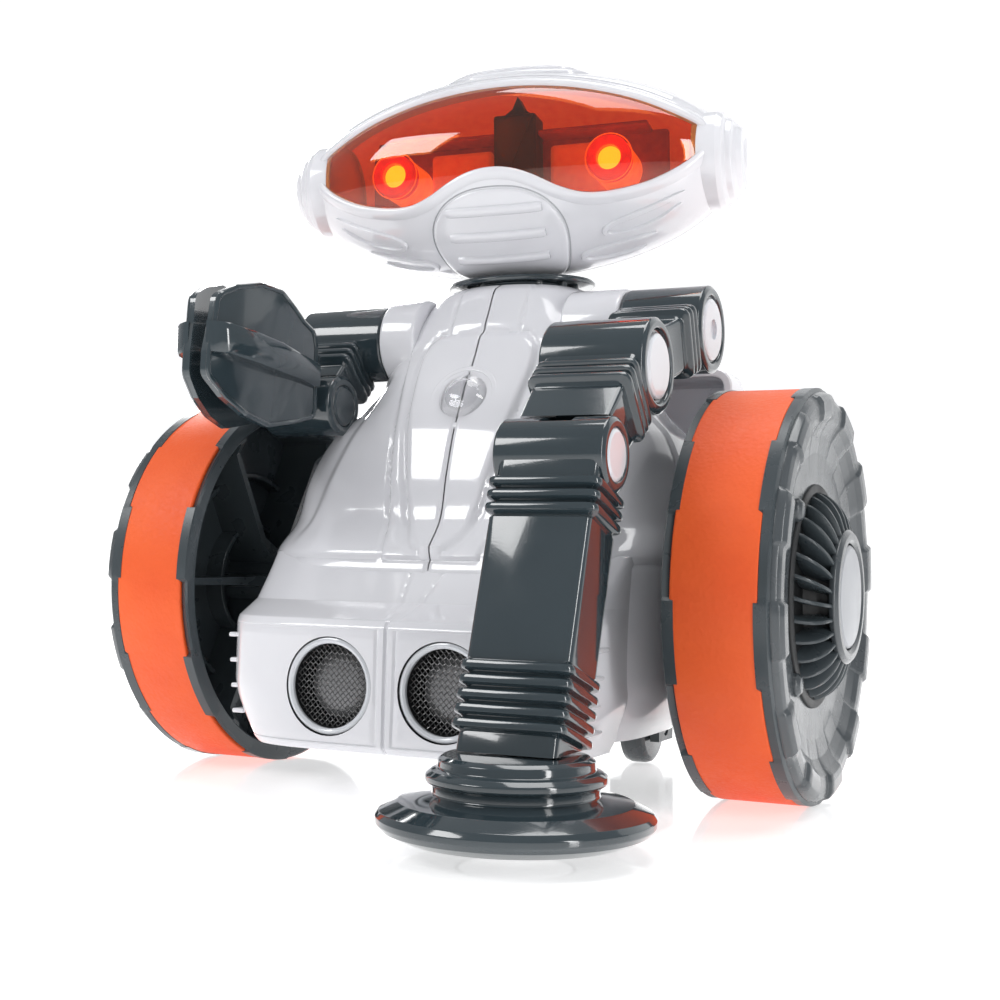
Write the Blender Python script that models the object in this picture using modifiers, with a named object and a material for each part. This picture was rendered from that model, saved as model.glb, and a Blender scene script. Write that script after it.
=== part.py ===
"""A toy robot car on two big wheels, with a swivelling head, a claw arm and a magnet arm.

Frame: origin at the bottom centre of the bounding box, +Z up, the robot faces -Y and its left side
is +X. Sizes below are in millimetres, measured from the point on the ground under the wheels' axle.
"""
import math

import bmesh
import bpy
from mathutils import Matrix, Vector

OBJECT = "two_wheel_robot_car"
MM = 0.001
GAP = 0.3

# Overall layout: y grows backwards, z is height, both from the ground point under the axle.
AXLE_TO_CENTRE = 23.5
WHEEL_R = 45.0
TYRE_IN = 58.4
TYRE_OUT = 76.1
HUB_FACE = 85.0
FIN_SLOTS = 12
BODY_SPLIT = 0.15

# Body shell.
WALL = 2.0
BODY_LEVELS = (
    # height, half width, front y, back y, roundness of the section
    (13.0, 41.0, -33.0, 31.0, 3.6),
    (18.0, 45.5, -36.5, 33.5, 3.8),
    (27.0, 49.0, -38.0, 35.5, 4.0),
    (52.0, 49.5, -34.0, 36.0, 4.0),
    (60.0, 49.2, -27.8, 36.0, 3.6),
    (70.0, 48.0, -25.2, 36.0, 3.3),
    (80.0, 44.0, -22.0, 36.0, 3.0),
    (86.0, 38.0, -19.0, 36.0, 2.8),
    (92.0, 33.2, -15.7, 35.6, 2.7),
    (99.0, 30.6, -11.6, 35.2, 2.6),
    (105.0, 28.0, -8.6, 34.8, 2.6),
    (111.0, 23.8, -5.4, 34.0, 2.5),
    (115.5, 19.5, -3.0, 31.5, 2.4),
    (117.4, 16.0, -0.5, 28.5, 2.3),
)
NECK_X = -1.5
NECK_Y = 14.0
NECK_HOLE_R = 5.6
SHOULDER_Z = 104.5
SHOULDER_Y = 1.8
POD_R = 10.3
POD_FACE = 32.9
CLAW_POD_FACE = 28.6
HOUSING_HALF = 44.5
HOUSING_PROFILE = ((-30.2, 52.6), (-42.5, 41.8), (-51.8, 38.4), (-52.6, 37.2), (-53.0, 10.8), (-30.2, 10.8))
HOUSING_PLAN = ((9.0, 37.0), (13.0, 40.5), (18.0, 43.2), (24.0, HOUSING_HALF), (60.0, HOUSING_HALF))
HOUSING_ROOM_HALF = 36.0
SONAR_X = 13.5
SONAR_Z = 24.4
SONAR_R = 10.2
LENS_Y = -18.4
LENS_Z = 87.5
LENS_TILT = math.radians(62.0)

# Head, in its own frame: x across, y back, z up, turned about the neck.
HEAD_Z = 146.0
HEAD_TURN = math.radians(8.4)
HEAD_LEAN = math.radians(-1.6)
HEAD_RADII = (54.5, 23.5, 24.9)
HEAD_OFFSET_Y = -3.4
POST_Y = 0.0
VISOR_HALF = (
    # x, z of the visor's edge on one side, from the middle of its foot round to the middle of its top
    (0.0, -3.3), (5.0, -3.9), (9.8, -5.6), (16.0, -8.6), (22.0, -10.1), (29.0, -9.6), (37.0, -7.4),
    (44.5, -3.2), (49.0, 2.0), (47.5, 6.0), (42.5, 8.9), (31.0, 13.7), (16.0, 17.4),
)
VISOR_TOP = (0.0, 18.8)
CHIN_HALF = ((0.0, -7.9), (7.0, -8.6), (12.6, -11.3), (15.4, -15.6), (15.4, -20.5), (12.6, -30.0))
EYE_X = 26.5
EYE_Z = -1.0

# Magnet arm on the left side: joint centres as (y, z), barrel radii and the arm's span in x.
ARM_A = (SHOULDER_Y, SHOULDER_Z)
ARM_B = (-35.0, 91.6)
ARM_C = (-58.6, 71.8)
ARM_WRIST = (-77.5, 12.0)
ARM_IN = 29.8
ARM_OUT = 52.6
ARM_A_IN = 33.3
BARREL_A = 10.0
BARREL_B = 10.0
BARREL_C = 7.4
TONGUE = 6.0
MAGNET_X = 42.5
MAGNET_Y = -80.0
MAGNET_R = 25.0

# Claw arm on the right side.
CLAW_A = (SHOULDER_Y, SHOULDER_Z)
CLAW_E = (-15.6, 87.6)
CLAW_IN = -33.3
CLAW_OUT = -52.6
CLAW_MID = -43.0
JAW_PIVOT_Y = -27.5
JAW_PIVOT_X = 2.9

# Drive train.
MODULE = 1.5
DRIVE_TEETH = 24
REDUCTION_TEETH = 20
PINION_TEETH = 8
IDLER_ANGLE = math.radians(95.0)
MOTOR_ANGLE = math.radians(50.0)
AXLE_R = 2.0

# Batteries: four AA cells side by side.
CELL_R = 7.1
CELL_LENGTH = 50.5
CELL_PITCH = 14.9
CELL_Y = 45.2
CELL_Z = 54.0

COLORS = {
    # name: red, green, blue, roughness, metallic
    "white_plastic": (0.86, 0.86, 0.88, 0.22, 0.0),
    "dark_plastic": (0.035, 0.055, 0.07, 0.18, 0.0),
    "grey_plastic": (0.22, 0.24, 0.26, 0.35, 0.0),
    "light_plastic": (0.45, 0.47, 0.5, 0.3, 0.0),
    "orange_rubber": (0.85, 0.16, 0.03, 0.6, 0.0),
    "visor_red": (0.9, 0.13, 0.02, 0.05, 0.0),
    "clear_lens": (0.9, 0.9, 0.92, 0.05, 0.0),
    "lamp_red": (0.7, 0.02, 0.05, 0.25, 0.0),
    "steel": (0.6, 0.6, 0.6, 0.3, 1.0),
    "board_green": (0.02, 0.2, 0.08, 0.4, 0.0),
    "gear_cream": (0.85, 0.82, 0.7, 0.4, 0.0),
    "cell_grey": (0.25, 0.25, 0.28, 0.35, 0.4),
}

PARTS = None
CUTTERS = None
MATERIALS = {}
FRAME = None


# ---------------------------------------------------------------- scene helpers

def clear_scene():
    for obj in list(bpy.data.objects):
        bpy.data.objects.remove(obj, do_unlink=True)


def new_collection(name):
    made = bpy.data.collections.new(name)
    bpy.context.scene.collection.children.link(made)
    return made


def material(name):
    if name not in MATERIALS:
        red, green, blue, roughness, metallic = COLORS[name]
        made = bpy.data.materials.new(name)
        made.use_nodes = True
        shader = made.node_tree.nodes["Principled BSDF"]
        shader.inputs["Base Color"].default_value = (red, green, blue, 1.0)
        shader.inputs["Roughness"].default_value = roughness
        shader.inputs["Metallic"].default_value = metallic
        made.diffuse_color = (red, green, blue, 1.0)
        MATERIALS[name] = made
    return MATERIALS[name]


def mm(*values):
    return tuple(value * MM for value in values)


def empty(name, at, turn=(0.0, 0.0, 0.0), parent=None):
    made = bpy.data.objects.new(name, None)
    made.empty_display_size = 0.01
    PARTS.objects.link(made)
    made.location = mm(*at)
    made.rotation_euler = turn
    made.parent = parent or FRAME
    return made


def part(obj, color, parent=None, smooth=40.0):
    """Put a finished sub-part in the parts collection, with its material and parent."""
    PARTS.objects.link(obj)
    obj.parent = parent or FRAME
    if obj.type == "MESH":
        obj.data.shade_smooth()
        obj.data.set_sharp_from_angle(angle=math.radians(smooth))
    obj.data.materials.clear()
    obj.data.materials.append(material(color))
    return obj


def combine(obj, other, operation, parent=None):
    """Join, cut or intersect obj with a guide solid, which goes in the cutters collection."""
    CUTTERS.objects.link(other)
    other.parent = parent or FRAME
    other.hide_render = True
    other.display_type = "WIRE"
    step = obj.modifiers.new(operation.lower(), "BOOLEAN")
    step.operation = operation
    step.solver = "EXACT"
    step.object = other
    return obj


def cut(obj, other, parent=None):
    return combine(obj, other, "DIFFERENCE", parent)


def join(obj, other, parent=None):
    return combine(obj, other, "UNION", parent)


def keep(obj, other, parent=None):
    return combine(obj, other, "INTERSECT", parent)


# ---------------------------------------------------------------- solids, in millimetres

def from_bmesh(name, bm):
    bm.normal_update()
    bmesh.ops.recalc_face_normals(bm, faces=bm.faces)
    mesh = bpy.data.meshes.new(name)
    bm.to_mesh(mesh)
    bm.free()
    return bpy.data.objects.new(name, mesh)


def block(name, low, high, bevel=0.0, segments=2):
    """A box between two corners, with rounded edges if bevel is given."""
    bm = bmesh.new()
    bmesh.ops.create_cube(bm, size=1.0)
    size = Vector(high) - Vector(low)
    middle = (Vector(high) + Vector(low)) / 2
    bmesh.ops.scale(bm, vec=size * MM, verts=bm.verts)
    bmesh.ops.translate(bm, vec=middle * MM, verts=bm.verts)
    obj = from_bmesh(name, bm)
    if bevel:
        step = obj.modifiers.new("rounding", "BEVEL")
        step.width = bevel * MM
        step.segments = segments
    return obj


def rod(name, radius, start, end, across, axis="X", sides=24, end_radius=None):
    """A cylinder or cone along one axis, from start to end, centred on the two across values."""
    bm = bmesh.new()
    bmesh.ops.create_cone(bm, cap_ends=True, segments=sides, radius1=radius * MM,
                          radius2=(end_radius if end_radius is not None else radius) * MM,
                          depth=abs(end - start) * MM)
    turn = {"X": ("Y", 90.0), "Y": ("X", -90.0), "Z": ("X", 0.0)}[axis]
    spin = math.radians(turn[1] if end > start else turn[1] + 180.0)
    bmesh.ops.rotate(bm, matrix=Matrix.Rotation(spin, 3, turn[0]), verts=bm.verts)
    middle = (start + end) / 2
    place = {"X": (middle, *across), "Y": (across[0], middle, across[1]), "Z": (*across, middle)}[axis]
    bmesh.ops.translate(bm, vec=Vector(place) * MM, verts=bm.verts)
    return from_bmesh(name, bm)


def turned(name, profile, steps=32, closed=False):
    """A profile of (radius, height) points spun about Z, running down its outer side."""
    mesh = bpy.data.meshes.new(name)
    points = [mm(radius, 0.0, height) for radius, height in profile]
    edges = [(i, i + 1) for i in range(len(points) - 1)]
    if closed:
        edges.append((len(points) - 1, 0))
    mesh.from_pydata(points, edges, [])
    obj = bpy.data.objects.new(name, mesh)
    step = obj.modifiers.new("spin", "SCREW")
    step.steps = steps
    step.render_steps = steps
    step.use_merge_vertices = True
    step.merge_threshold = 0.00001
    step.use_smooth_shade = True
    return obj


def flat_outline(name, outline, low, high):
    """An outline in the XY plane, filled and extruded from height low to high."""
    curve = bpy.data.curves.new(name, "CURVE")
    curve.dimensions = "2D"
    curve.fill_mode = "BOTH"
    curve.extrude = (high - low) / 2 * MM
    spline = curve.splines.new("POLY")
    spline.points.add(len(outline) - 1)
    for point, (x, y) in zip(spline.points, outline):
        point.co = (x * MM, y * MM, 0.0, 1.0)
    spline.use_cyclic_u = True
    guide = bpy.data.objects.new(name + "_outline", curve)
    bpy.context.scene.collection.objects.link(guide)
    evaluated = guide.evaluated_get(bpy.context.evaluated_depsgraph_get())
    mesh = bpy.data.meshes.new_from_object(evaluated)
    bm = bmesh.new()
    bm.from_mesh(mesh)
    bmesh.ops.remove_doubles(bm, verts=bm.verts, dist=0.00001)
    bmesh.ops.translate(bm, vec=mm(0, 0, (high + low) / 2), verts=bm.verts)
    bpy.data.objects.remove(guide, do_unlink=True)
    return from_bmesh(name, bm)


def stand_across(obj, axis="X"):
    """Turn a flat outline so that its plane is YZ and its thickness runs along X, or XZ and along Y."""
    if axis == "X":
        for vertex in obj.data.vertices:
            x, y, z = vertex.co
            vertex.co = (z, x, y)
    else:
        for vertex in obj.data.vertices:
            x, y, z = vertex.co
            vertex.co = (x, -z, y)
    return obj


def loft(name, rings):
    """A closed solid through rings of (x, y, z) points, all with the same number of points."""
    bm = bmesh.new()
    rows = [[bm.verts.new(mm(*point)) for point in ring] for ring in rings]
    count = len(rows[0])
    for low, high in zip(rows, rows[1:]):
        for i in range(count):
            j = (i + 1) % count
            bm.faces.new((low[i], low[j], high[j], high[i]))
    bm.faces.new(rows[0])
    bm.faces.new(rows[-1])
    return from_bmesh(name, bm)


def oval_ring(z, half_width, front, back, power, count=24):
    """A superellipse section at height z, between its front and back y."""
    middle = (front + back) / 2
    depth = (back - front) / 2
    ring = []
    for i in range(count):
        angle = 2 * math.pi * i / count
        c, s = math.cos(angle), math.sin(angle)
        x = math.copysign(abs(c) ** (2 / power), c) * half_width
        y = math.copysign(abs(s) ** (2 / power), s) * depth
        ring.append((x, middle + y, z))
    return ring


def soft_rect(half_x, half_y, corner, z, mid_x=0.0, mid_y=0.0):
    """A rectangle with cut corners at height z."""
    ring = []
    for sx, sy in ((1, 1), (-1, 1), (-1, -1), (1, -1)):
        pair = [(sx * half_x, sy * (half_y - corner)), (sx * (half_x - corner), sy * half_y)]
        if sx != sy:
            pair.reverse()
        ring += [(mid_x + x, mid_y + y, z) for x, y in pair]
    return ring


# ---------------------------------------------------------------- body

def body_solid(name, grow=0.0, low=None, high=None, step=1, count=24):
    """The body's outer form, or the form inside it when grow is negative, from every step-th level."""
    rings = []
    for z, half, front, back, power in BODY_LEVELS[::step]:
        rings.append(oval_ring(z, half + grow, front - grow, back + grow, power, count))
    if low is not None:
        rings[0] = [(x, y, low) for x, y, z in rings[0]]
    if high is not None:
        rings[-1] = [(x, y, high) for x, y, z in rings[-1]]
    return loft(name, rings)


def body_half(side):
    word = "left" if side > 0 else "right"
    shell = body_solid("body_shell_" + word)
    face = POD_FACE
    if side < 0:
        face = CLAW_POD_FACE
        cut(shell, rod("flange_room", 9.7, GAP - face, -60.0, CLAW_A))
    join(shell, rod("pod_" + word, POD_R, side * 20.0, side * face, (SHOULDER_Y, SHOULDER_Z)))
    cut(shell, body_solid("body_core_" + word, -WALL, 12.0, 115.4, 2, 16))
    edge = sorted((-side * 80.0, side * BODY_SPLIT))
    cut(shell, block("half_" + word, (edge[0], -80, 0), (edge[1], 80, 140)))
    cut(shell, rod("neck_bore_" + word, NECK_HOLE_R, 108.0, 125.0, (NECK_X, NECK_Y), "Z"))
    cut(shell, rod("axle_bore_" + word, 2.8, side * 40.0, side * 60.0, (0.0, WHEEL_R), sides=16))
    cut(shell, rod("arm_bore_" + word, 2.4, side * 10.0, side * 40.0, (SHOULDER_Y, SHOULDER_Z)))
    lens_seat = rod("lens_seat_" + word, 9.5, -4.0, 20.0, (0.0, 0.0), "Z")
    lens_seat.location = mm(0.0, LENS_Y, LENS_Z)
    lens_seat.rotation_euler = (LENS_TILT, 0.0, 0.0)
    cut(shell, lens_seat)
    edge = sorted((side * 4.0, side * 27.0))
    cut(shell, block("sensor_window_" + word, (edge[0], -50, 16), (edge[1], -25, 33)))
    if side < 0:
        cut(shell, rod("claw_room", 8.4, CLAW_IN + 1.8, -60.0, CLAW_E))
    part(shell, "white_plastic")


def sensor_housing():
    """The low front housing that carries the two range sensors."""
    housing = stand_across(flat_outline("sensor_housing", HOUSING_PROFILE, -HOUSING_HALF - 2,
                                        HOUSING_HALF + 2))
    keep(housing, loft("housing_plan", [
        oval_ring(z, half, -54.0, 40.0, 5.0, 32) for z, half in HOUSING_PLAN]))
    inner = [(-20.0, 50.0), (-30.2, 50.0), (-41.6, 39.9), (-49.8, 36.2), (-50.9, 35.4), (-51.0, 12.9),
             (-20.0, 12.9)]
    cut(housing, body_solid("housing_back", GAP, 9.0, 130.0))
    cut(housing, stand_across(flat_outline("housing_room", inner, -HOUSING_ROOM_HALF, HOUSING_ROOM_HALF)))
    for side in (1, -1):
        place = (side * SONAR_X, SONAR_Z)
        cut(housing, rod("sonar_bore_%d" % side, SONAR_R - 0.9, -60.0, -45.0, place, "Y"))
        cut(housing, rod("sonar_step_%d" % side, SONAR_R + GAP, -60.0, -51.8, place, "Y"))
    part(housing, "white_plastic")


def sonar(side):
    word = "left" if side > 0 else "right"
    eye = empty("sonar_axis_" + word, (side * SONAR_X, -52.1, SONAR_Z), (math.radians(90.0), 0.0, 0.0))
    ring = [(SONAR_R, 0.7), (SONAR_R, 0.0), (8.7, 0.0), (9.2, 1.5)]
    part(turned("sonar_ring_" + word, ring, 20, closed=True), "white_plastic", eye)
    cup = [(0.0, -2.2), (7.0, -2.2), (7.8, -3.0), (7.8, -8.4), (0.0, -8.4)]
    part(turned("range_sensor_" + word, cup, 20), "light_plastic", eye)


def chest_lens():
    seat = empty("lens_axis", (0.0, LENS_Y, LENS_Z), (LENS_TILT, 0.0, 0.0))
    dome = [(0.0, 4.2), (2.2, 3.9), (4.2, 3.0), (5.7, 1.6), (6.6, 0.6), (7.6, 1.2), (9.1, 0.4),
            (9.1, -2.0), (5.6, -2.0), (5.0, 0.6), (0.0, 2.9)]
    part(turned("chest_lens", dome, 20), "clear_lens", seat)


def rear_cover():
    """The backpack: cover, battery tray and cells, door, switch and button."""
    cover = block("rear_cover", (-46.0, 36.9, 24.0), (46.0, 56.0, 101.0), 5.0, 3)
    cut(cover, block("cover_front", (-60, 30, 0), (60, 36.9 + 3.0, 120)))
    cut(cover, block("cover_room", (-44.0, 30, 26.0), (44.0, 54.0, 99.0)))
    cut(cover, block("door_hole", (-32.6, 50, 29.4), (32.6, 60, 79.6)))
    cut(cover, block("switch_hole", (-18.3, 50, 85.7), (-5.7, 60, 90.3)))
    part(cover, "white_plastic")
    part(block("battery_door", (-32.2, 54.1, 29.8), (32.2, 55.9, 79.2), 0.5), "white_plastic")
    floor = CELL_Z - CELL_LENGTH / 2
    pack = None
    for number in range(4):
        profile = [(0.0, CELL_LENGTH), (2.7, CELL_LENGTH), (2.7, CELL_LENGTH - 1.2),
                   (CELL_R, CELL_LENGTH - 1.3),
                   (CELL_R, 0.0), (0.0, 0.0)]
        cell = turned("battery_cell_%d" % (number + 1), profile, 10)
        cell.location = mm((number - 1.5) * CELL_PITCH, CELL_Y, floor)
        if pack:
            join(pack, cell, FRAME)
        else:
            pack = cell
            pack.name = "battery_pack"
    for level in (CELL_Z - 16.0, CELL_Z + 12.0):
        strap = (CELL_PITCH * 1.5, CELL_R * 0.3)
        band = block("pack_band_%d" % level, (-strap[0], CELL_Y - strap[1], level),
                     (strap[0], CELL_Y + strap[1], level + 4.0))
        join(pack, band, FRAME)
    part(pack, "cell_grey")
    knob = block("power_switch", (-18.0 + 1.8, 50.5, 86.0), (-10.2, 58.0, 90.0), 0.4)
    join(knob, block("switch_foot", (-20.5, 50.4, 84.6), (-6.8, 53.6, 91.4)))
    part(knob, "dark_plastic")


def chassis():
    base = loft("chassis", [oval_ring(z, 38.3, -30.2, 28.2, 3.6) for z in (13.0, 15.2)])
    for x in (-34.0, 34.0):
        join(base, block("chassis_rib_%d" % x, (x - 1.2, -20.0, 14.5), (x + 1.2, 20.0, 19.6)))
    part(base, "dark_plastic")
    part(block("control_board", (-20.5, 26.0, 66.0), (20.5, 27.6, 99.0)), "board_green")
    bracket = block("rear_bracket", (-29.0, 37.5, 20.6), (29.0, 51.0, 23.6))
    for x in (-27.4, -16.6, 16.6, 27.4):
        join(bracket, block("cheek_%d" % x, (x - 1.2, 38.6, 6.0), (x + 1.2, 49.4, 21.5)))
    cut(bracket, rod("roller_bore", 1.9, -40, 40, (44.0, 9.0), sides=12))
    part(bracket, "dark_plastic")
    for side, word in ((1, "left"), (-1, "right")):
        axis = empty("roller_axis_" + word, (side * 22.0, 44.0, 9.0), (0.0, math.radians(90.0), 0.0))
        profile = [(0.0, 6.4), (1.5, 6.4), (1.5, 3.7), (9.0, 3.0), (9.0, -3.0), (1.5, -3.7), (1.5, -6.4),
                   (0.0, -6.4)]
        part(turned("rear_roller_" + word, profile, 20), "grey_plastic", axis)


# ---------------------------------------------------------------- drive train

def gear_outline(teeth, phase):
    """Straight-sided teeth, a little thin so that they run free; phase is the angle of one tooth."""
    pitch_r = MODULE * teeth / 2
    step = 2 * math.pi / teeth
    outline = []
    for number in range(teeth):
        middle = phase + number * step
        for radius, offset in ((pitch_r - 1.5, -0.34), (pitch_r + 1.0, -0.13),
                               (pitch_r + 1.0, 0.13), (pitch_r - 1.5, 0.34)):
            angle = middle + offset * step
            outline.append((math.cos(angle) * radius, math.sin(angle) * radius))
    return outline


def gear(name, teeth, phase, low, high):
    return flat_outline(name, gear_outline(teeth, phase), low, high)


def drive(side):
    """One side's motor, pinion, reduction gear and the gear on the wheel's axle, seen along +Z = outward."""
    word = "left" if side > 0 else "right"
    small = MODULE * (DRIVE_TEETH + PINION_TEETH) / 2
    large = MODULE * (REDUCTION_TEETH + PINION_TEETH) / 2
    turn = (math.radians(90.0), 0.0, math.radians(90.0) if side > 0 else math.radians(-90.0))
    wheel = empty("wheel_axis_" + word, (0.0, 0.0, WHEEL_R), turn)
    # In this frame +Z points out of the robot, +Y is up and +X is back on the left, forward on the right.
    lean = IDLER_ANGLE if side > 0 else math.pi - IDLER_ANGLE
    rise = MOTOR_ANGLE if side > 0 else math.pi - MOTOR_ANGLE
    idler_at = (math.cos(lean) * small, math.sin(lean) * small)
    motor_at = (idler_at[0] + math.cos(rise) * large, idler_at[1] + math.sin(rise) * large)
    idler = empty("reduction_axis_" + word, (0.0, side * idler_at[0], WHEEL_R + idler_at[1]), turn)
    motor = empty("motor_axis_" + word, (0.0, side * motor_at[0], WHEEL_R + motor_at[1]), turn)

    drive_gear = gear("drive_gear_" + word, DRIVE_TEETH, lean, 30.0, 35.0)
    join(drive_gear, rod("drive_hub_" + word, 5.0, 28.2, 36.6, (0.0, 0.0), "Z", 10), wheel)
    join(drive_gear, rod("axle_" + word, AXLE_R, 20.4, 77.0, (0.0, 0.0), "Z", 10), wheel)
    part(drive_gear, "gear_cream", wheel)

    step = 2 * math.pi / PINION_TEETH
    compound = gear("reduction_gear_" + word, PINION_TEETH, lean + math.pi + step / 2, 26.0, 36.4)
    join(compound, gear("reduction_rim_" + word, REDUCTION_TEETH, rise, 23.4, 27.4), idler)
    join(compound, rod("reduction_pin_" + word, 1.5, 19.2, 40.2, (0.0, 0.0), "Z", 10), idler)
    part(compound, "gear_cream", idler)
    pinion = gear("motor_pinion_" + word, PINION_TEETH, rise + math.pi + step / 2, 23.0, 28.0)
    join(pinion, rod("motor_shaft_" + word, 1.0, 12.0, 29.0, (0.0, 0.0), "Z", 10), motor)
    part(pinion, "steel", motor)

    ends = sorted((-side * 11.0, side * 16.0))
    case = block("gearbox_" + word, (ends[0], -8.0, 18.8), (ends[1], 44.0, 40.6))
    cut(case, block("gearbox_room_" + word, (-40, -30.0, 22.2), (40, 60, 38.4)), wheel)
    join(case, block("gearbox_web_" + word, (-9.0, -24.4, 19.3), (9.0, -20.2, 40.1)), wheel)
    for number, x in enumerate((-8.0, 8.0)):
        join(case, block("gearbox_post_%s_%d" % (word, number), (x - 2, -23.0, 19.6),
                         (x + 2, -6.0, 21.6)), wheel)
        join(case, block("gearbox_leg_%s_%d" % (word, number), (x - 2, -23.0, 38.9), (x + 2, -6.0, 39.8)),
             wheel)
    cut(case, rod("case_axle_" + word, AXLE_R + GAP, 15, 50, (0.0, 0.0), "Z", 16), wheel)
    cut(case, rod("case_idler_" + word, 1.5 + GAP, 15, 50, (0.0, 0.0), "Z", 12), idler)
    join(case, rod("motor_can_" + word, 9.9, 1.4, 20.0, (0.0, 0.0), "Z", 16), motor)
    cut(case, block("gearbox_trim_" + word, (-40, 27.0, 36.0), (40, 60, 60)), wheel)
    cut(case, rod("case_motor_" + word, 1.3, 11.0, 50, (0.0, 0.0), "Z", 12), motor)
    part(case, "white_plastic", wheel)
    return wheel


# ---------------------------------------------------------------- wheels

def wheel(side, axis):
    """Rim, tyre band, outer face, finned hub and hub cap, in the wheel's frame with +Z outward."""
    word = "left" if side > 0 else "right"
    rim = turned("wheel_rim_" + word, [
        (44.7, 78.2), (44.7, 76.5), (43.0, 76.5), (43.0, 58.0), (44.7, 58.0), (44.7, 56.6), (41.2, 56.6),
        (41.0, 73.4), (6.5, 73.4), (6.5, 54.4), (AXLE_R + GAP, 54.4), (AXLE_R + GAP, 75.4), (42.6, 75.4),
        (42.6, 78.2)], 28, closed=True)
    for number in range(6):
        angle = number * math.pi / 3
        rib = block("rib_%s_%d" % (word, number), (6.0, -0.8, 62.0), (41.6, 0.8, 74.2))
        rib.rotation_euler = (0.0, 0.0, angle)
        join(rim, rib, axis)
    part(rim, "dark_plastic", axis)
    tyre = turned("tyre_" + word, [(WHEEL_R, TYRE_OUT), (WHEEL_R, TYRE_IN), (43.3, TYRE_IN),
                                   (43.3, TYRE_OUT)],
                  40, closed=True)
    part(tyre, "orange_rubber", axis)
    face = turned("wheel_face_" + word, [
        (42.0, 79.4), (42.0, 75.8), (22.8, 75.8), (22.8, 77.0), (30.0, 77.4), (34.4, 79.8),
        (38.0, 80.8), (41.0, 80.4)], 28, closed=True)
    part(face, "grey_plastic", axis)
    hub = turned("hub_fins_" + word, [
        (0.0, 82.2), (12.6, 82.2), (14.2, 83.6), (15.4, 83.2), (18.4, 81.2), (20.8, 78.6), (22.2, 75.8),
        (AXLE_R + 2.0, 75.8), (AXLE_R + 2.0, 78.2), (0.0, 78.2)], 20)
    for number in range(FIN_SLOTS):
        slot = block("fin_slot_%s_%d" % (word, number), (15.6, -0.9, 77.4), (25.0, 0.9, 86.0))
        slot.rotation_euler = (0.0, 0.0, 2 * math.pi * number / FIN_SLOTS)
        cut(hub, slot, axis)
    part(hub, "dark_plastic", axis)
    cap = turned("hub_cap_" + word, [(0.0, HUB_FACE), (10.4, HUB_FACE - 0.1), (11.6, HUB_FACE - 0.8),
                                     (12.2, 82.5), (0.0, 82.5)], 20)
    part(cap, "light_plastic", axis)


# ---------------------------------------------------------------- head

def head_ball(name, shrink=0.0, segments=24, rings=12):
    """The head's flattened ball, with its poles at the ears."""
    bm = bmesh.new()
    bmesh.ops.create_uvsphere(bm, u_segments=segments, v_segments=rings, radius=1.0)
    for vertex in bm.verts:
        x, y, z = vertex.co
        vertex.co = Vector((z * (HEAD_RADII[0] - shrink), y * (HEAD_RADII[1] - shrink),
                            -x * (HEAD_RADII[2] - shrink))) * MM
    return from_bmesh(name, bm)


def mirrored(half, top=None):
    """A closed outline from its right half, which starts and, with top, ends on the middle line."""
    outline = list(half)
    if top:
        outline.append(top)
    outline += [(-x, z) for x, z in reversed(half) if x]
    return outline


def shrunk(outline, amount):
    """The outline moved inwards by amount, towards its inside along each corner's bisector."""
    result = []
    count = len(outline)
    area = sum(outline[i][0] * outline[(i + 1) % count][1] - outline[(i + 1) % count][0] * outline[i][1]
               for i in range(count))
    sign = 1.0 if area > 0 else -1.0
    for i in range(count):
        before = Vector(outline[i - 1])
        here = Vector(outline[i])
        after = Vector(outline[(i + 1) % count])
        along = ((here - before).normalized() + (after - here).normalized()).normalized()
        inward = Vector((-along.y, along.x)) * sign
        moved = here + inward * amount
        result.append((moved.x, moved.y))
    return result


def head_prism(name, outline, near, far):
    """An outline in the head's XZ plane, running from y = near to y = far."""
    return stand_across(flat_outline(name, outline, -far, -near), "Y")


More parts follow.
